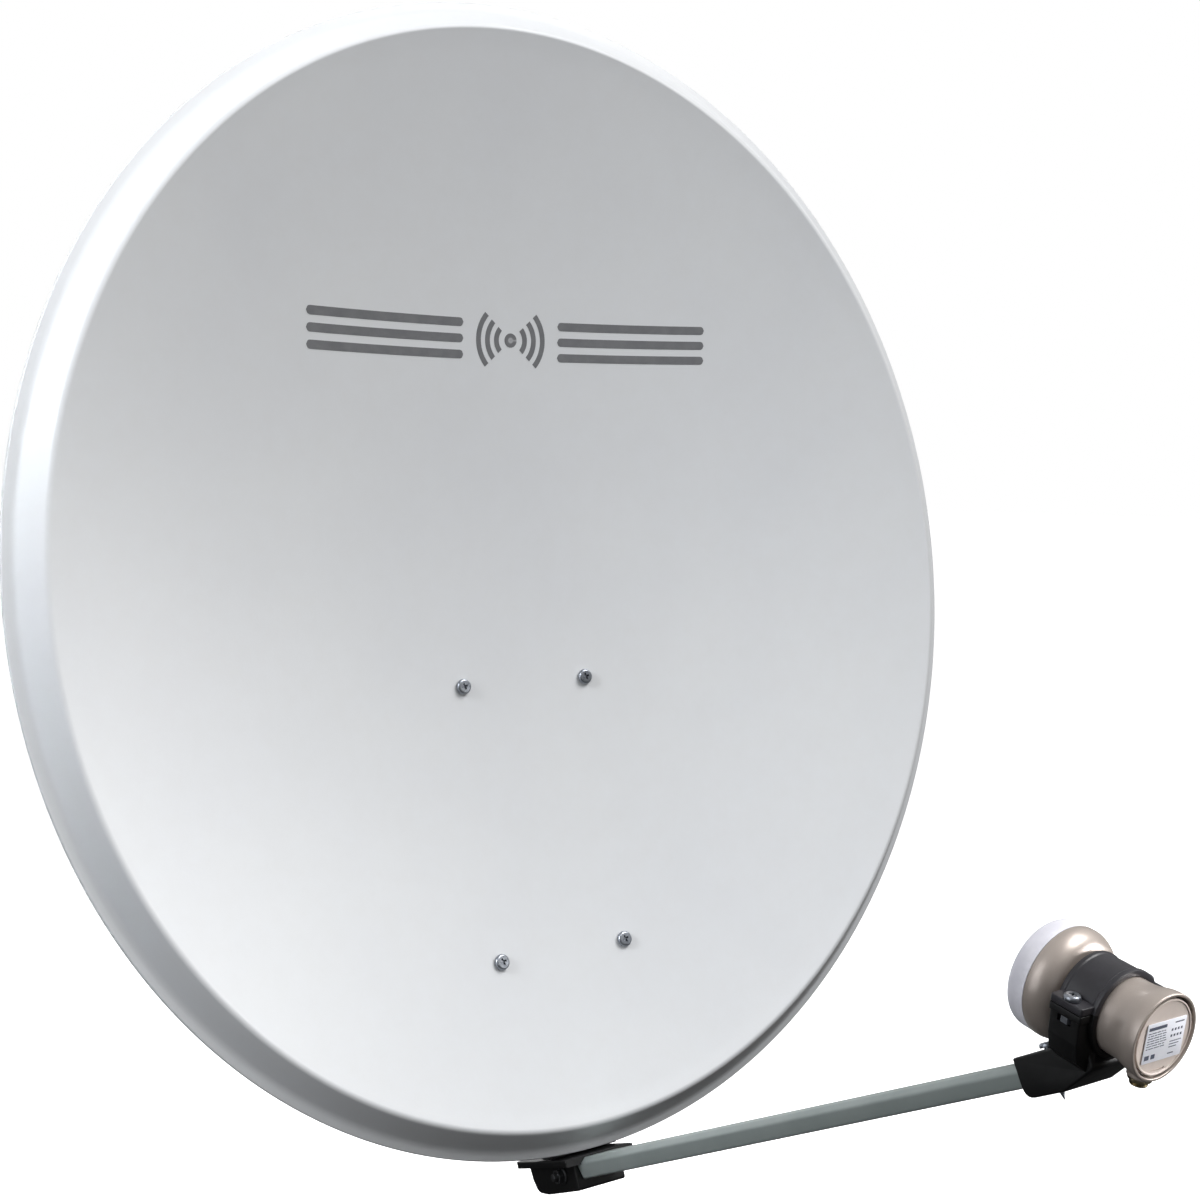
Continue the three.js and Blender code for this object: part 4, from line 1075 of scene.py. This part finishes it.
def rear_cover():
    profile = filleted([(0, -3.2), (19.9, -3.2), (19.9, -0.4), (19.1, -0.4), (18.9, -0.9), (0, -0.9)],
                       [0, 0.4, 0.3, 0.2, 0.3, 0], 3, closed=False)
    disc = lathe([(0, -3.2)] + [tuple(p) for p in profile[1:-1]] + [(0, -0.9)], 128)
    slot_shape = filleted([(-5.3, -17.55), (5.3, -17.55), (5.3, -16.45), (-5.3, -16.45)], 0.5, 4)
    return combined(disc, slab(slot_shape, -1.7, 1), "DIFFERENCE")


def front_shroud():
    outer = curve_points((20.6, -49.6), (25.6, -50.2), (29.2, -54), (30.2, -60), 18)
    inner = curve_points((28.3, -60), (28.1, -55), (25.6, -52), (19, -51.4), 12)
    rim = filleted([(30.2, -60), (30.2, -63.2), (28.3, -63.2), (28.3, -60)],
                   [0, 0.5, 0.4, 0], 3, closed=False)
    profile = outer + rim[1:-1] + inner + [Vector((18.6, -49.6))]
    return lathe([tuple(p) for p in profile], 128)


def feed_cap():
    """A shallow cup over the horn's mouth."""
    outer = filleted([(30.0, -63.5), (30.0, -76.0), (14, -76.5)], [0, 5.6, 0], 12, closed=False)
    inner = filleted([(14, -74.8), (28.2, -74.0), (28.2, -63.5)], [0, 4, 0], 6, closed=False)
    loops = [circle(r, z, 128) for r, z in inner + outer]
    return skin(loops, first_pole=(0, 0, -75.2), last_pole=(0, 0, -76.8))


def coax_socket():
    count = 48
    corner = hexagon(6.0)
    eased = clipped(corner, 5.7)
    loops = [circle(4.6, 19.4, count), circle(4.6, 25.6, count), circle(eased, 25.6, count),
             circle(corner, 25.9, count), circle(corner, 26.9, count), circle(eased, 27.2, count),
             circle(4.4, 27.2, count)]
    loops += [circle(4.6 - 0.25 * (i % 2), 27.4 + 0.2 * i, count) for i in range(10)]
    loops += [circle(4.3, 29.5, count), circle(1.6, 29.5, count), circle(1.6, 25, count)]
    return skin(loops, first_pole=(0, 0, 19.4), last_pole=(0, 0, 25))


def label():
    shape = filleted([(-14, -11.7), (14.8, -11.7), (14.8, 9.3), (-14, 9.3)], 1.0, 5)
    return slab(shape, -0.6, -0.35, 0.05, 2)


def label_print():
    """Rows of plain bars, with no lettering."""
    chance = random.Random(7)
    strokes = []

    def stroke(x0, x1, y, height):
        shape = [(x0, y), (x1, y), (x1, y + height), (x0, y + height)]
        strokes.append(slab(shape, LABEL_INK_TOP - LABEL_INK_FILM, LABEL_INK_TOP))

    stroke(-12.6, 0.5, 5.6, 1.7)
    stroke(6.5, 13.2, 6.6, 0.7)
    for row in range(7):
        y = 3.9 - row * 1.35
        x = -12.6
        while x < 0:
            width = chance.uniform(1.2, 4.2)
            end = min(x + width, chance.uniform(0.5, 2.0))
            stroke(x, end, y, 0.45)
            x = end + 0.5
    for column in range(4):
        stroke(4.6 + column * 2.3, 5.9 + column * 2.3, 2.6, 1.3)
        stroke(4.6 + column * 2.3, 5.9 + column * 2.3, -0.6, 1.3)
    for row in range(3):
        stroke(4.6, 13.2 - row * 1.4, -3.2 - row * 1.5, 0.5)
    stroke(-12.6, -9.2, -9.9, 2.4)
    stroke(-7.8, -4.9, -9.9, 2.4)
    stroke(4.6, 9.0, -9.6, 0.6)
    return joined(*strokes)


piece("feed_body", rear_housing(), LNB, LOOKS["champagne"], "lnb", ["lnb_rear_housing"])
piece("feed_rear_cover", rear_cover(), LNB, COVER_PLASTIC, "lnb", ["lnb_rear_cover"])
piece("feed_bell", front_shroud(), LNB, LOOKS["champagne"], "lnb", ["lnb_front_shroud"])
piece("feed_weather_cap", feed_cap(), LNB, LOOKS["white_cap"], "lnb", ["feed_cap"])
piece("feed_label", label(), LNB, LOOKS["label_film"], "lnb", ["lnb_label"])
piece("feed_label_bars", label_print(), LNB, LABEL_INK, "lnb")
piece("coax_socket_fine", coax_socket(), LNB @ shift(0, 0, SOCKET_Z) @ turn(90, "X"),
      LOOKS["brass"], "lnb", ["coax_socket"])


# ---------------------------------------------------------------- floor, light and camera
def floor():
    """A pale floor well below the held dish; it doesn't throw light back up."""
    bm = bmesh.new()
    bmesh.ops.create_grid(bm, x_segments=8, y_segments=8, size=FLOOR_HALF)
    mesh = bpy.data.meshes.new("floor")
    bm.to_mesh(mesh)
    bm.free()
    look = Look("floor", Specular_IOR_Level=0.1, Emission_Color=(1, 1, 1, 1),
                Emission_Strength=FLOOR_GLOW)
    look.colour(look.ramp(look.noise(1.5, 2.0), [(0.3, (0.86, 0.86, 0.86)), (0.7, (0.88, 0.88, 0.88))]))
    look.gloss(look.span(look.noise(4.0, 2.0), 0.8, 0.9))
    mesh.materials.append(look.material)
    ground = bpy.data.objects.new("floor", mesh)
    ground.location = (0, 0, FLOOR_HEIGHT)
    ground.visible_diffuse = False
    ground.visible_glossy = False
    bpy.context.scene.collection.objects.link(ground)


def soft_light(name, place, target, width, height, power, colour=(1, 1, 1), spread=180):
    """A rectangular light that the camera doesn't see; size in metres, power in watts."""
    data = bpy.data.lights.new(name, "AREA")
    data.shape = "RECTANGLE"
    data.size = width
    data.size_y = height
    data.energy = power
    data.spread = math.radians(spread)
    data.color = colour
    lamp = bpy.data.objects.new(name, data)
    lamp.location = place
    lamp.visible_camera = False
    direction = Vector(target) - Vector(place)
    lamp.rotation_euler = direction.to_track_quat("-Z", "Y").to_euler()
    bpy.context.scene.collection.objects.link(lamp)


def studio():
    """White to the camera; as light, bright overhead and dim from below."""
    world = bpy.data.worlds.new("studio")
    world.use_nodes = True
    tree = world.node_tree
    nodes, links = tree.nodes, tree.links
    place = nodes.new("ShaderNodeTexCoord")
    split = nodes.new("ShaderNodeSeparateXYZ")
    height = nodes.new("ShaderNodeMapRange")
    height.inputs["From Min"].default_value = -1
    height.inputs["From Max"].default_value = 1
    ramp = nodes.new("ShaderNodeValToRGB")
    band = ramp.color_ramp
    band.elements.new(0.5)
    for element, (position, level) in zip(band.elements, ((0.3, 0.03), (0.52, 0.14), (0.8, 0.52))):
        element.position = position
        element.color = (level, level, level, 1)
    light = nodes["Background"]
    white = nodes.new("ShaderNodeBackground")
    white.inputs["Color"].default_value = (1, 1, 1, 1)
    chosen = nodes.new("ShaderNodeMixShader")
    rays = nodes.new("ShaderNodeLightPath")
    links.new(place.outputs["Generated"], split.inputs["Vector"])
    links.new(split.outputs["Z"], height.inputs["Value"])
    links.new(height.outputs["Result"], ramp.inputs["Fac"])
    links.new(ramp.outputs["Color"], light.inputs["Color"])
    links.new(rays.outputs["Is Camera Ray"], chosen.inputs["Fac"])
    links.new(light.outputs["Background"], chosen.inputs[1])
    links.new(white.outputs["Background"], chosen.inputs[2])
    links.new(chosen.outputs["Shader"], nodes["World Output"].inputs["Surface"])
    bpy.context.scene.world = world


floor()
studio()
soft_light("key", (1.65, -2.12, 3.21), (0, -0.15, 0.15), 2.4, 1.8, 142)
soft_light("left_strip", (-2.2, -0.3, 0.5), (-0.2, -0.15, 0.2), 1.6, 2.0, 16, COOL)
soft_light("rim_strip", (-2.0, -0.4, 1.3), (-0.33, 0.05, 0.38), 0.5, 0.8, 2.1, COOL, spread=40)
soft_light("behind", (0.8, 2.4, 1.2), (0, 0, 0.1), 2.0, 2.0, 64)
soft_light("feed_fill", (0.85, -1.35, 0.1), (0, -0.69, 0), 0.4, 0.4, 0.5, spread=28)
bpy.context.scene.view_settings.view_transform = "Standard"

camera_data = bpy.data.cameras.new("camera")
camera_data.sensor_width = 36
camera_data.sensor_fit = "HORIZONTAL"
camera_data.lens = CAMERA_LENS
camera = bpy.data.objects.new("camera", camera_data)
camera.location = CAMERA_PLACE
camera.rotation_euler = (math.radians(90 - CAMERA_DOWN), 0, -math.radians(CAMERA_TURN))
bpy.context.scene.collection.objects.link(camera)
bpy.context.scene.camera = camera
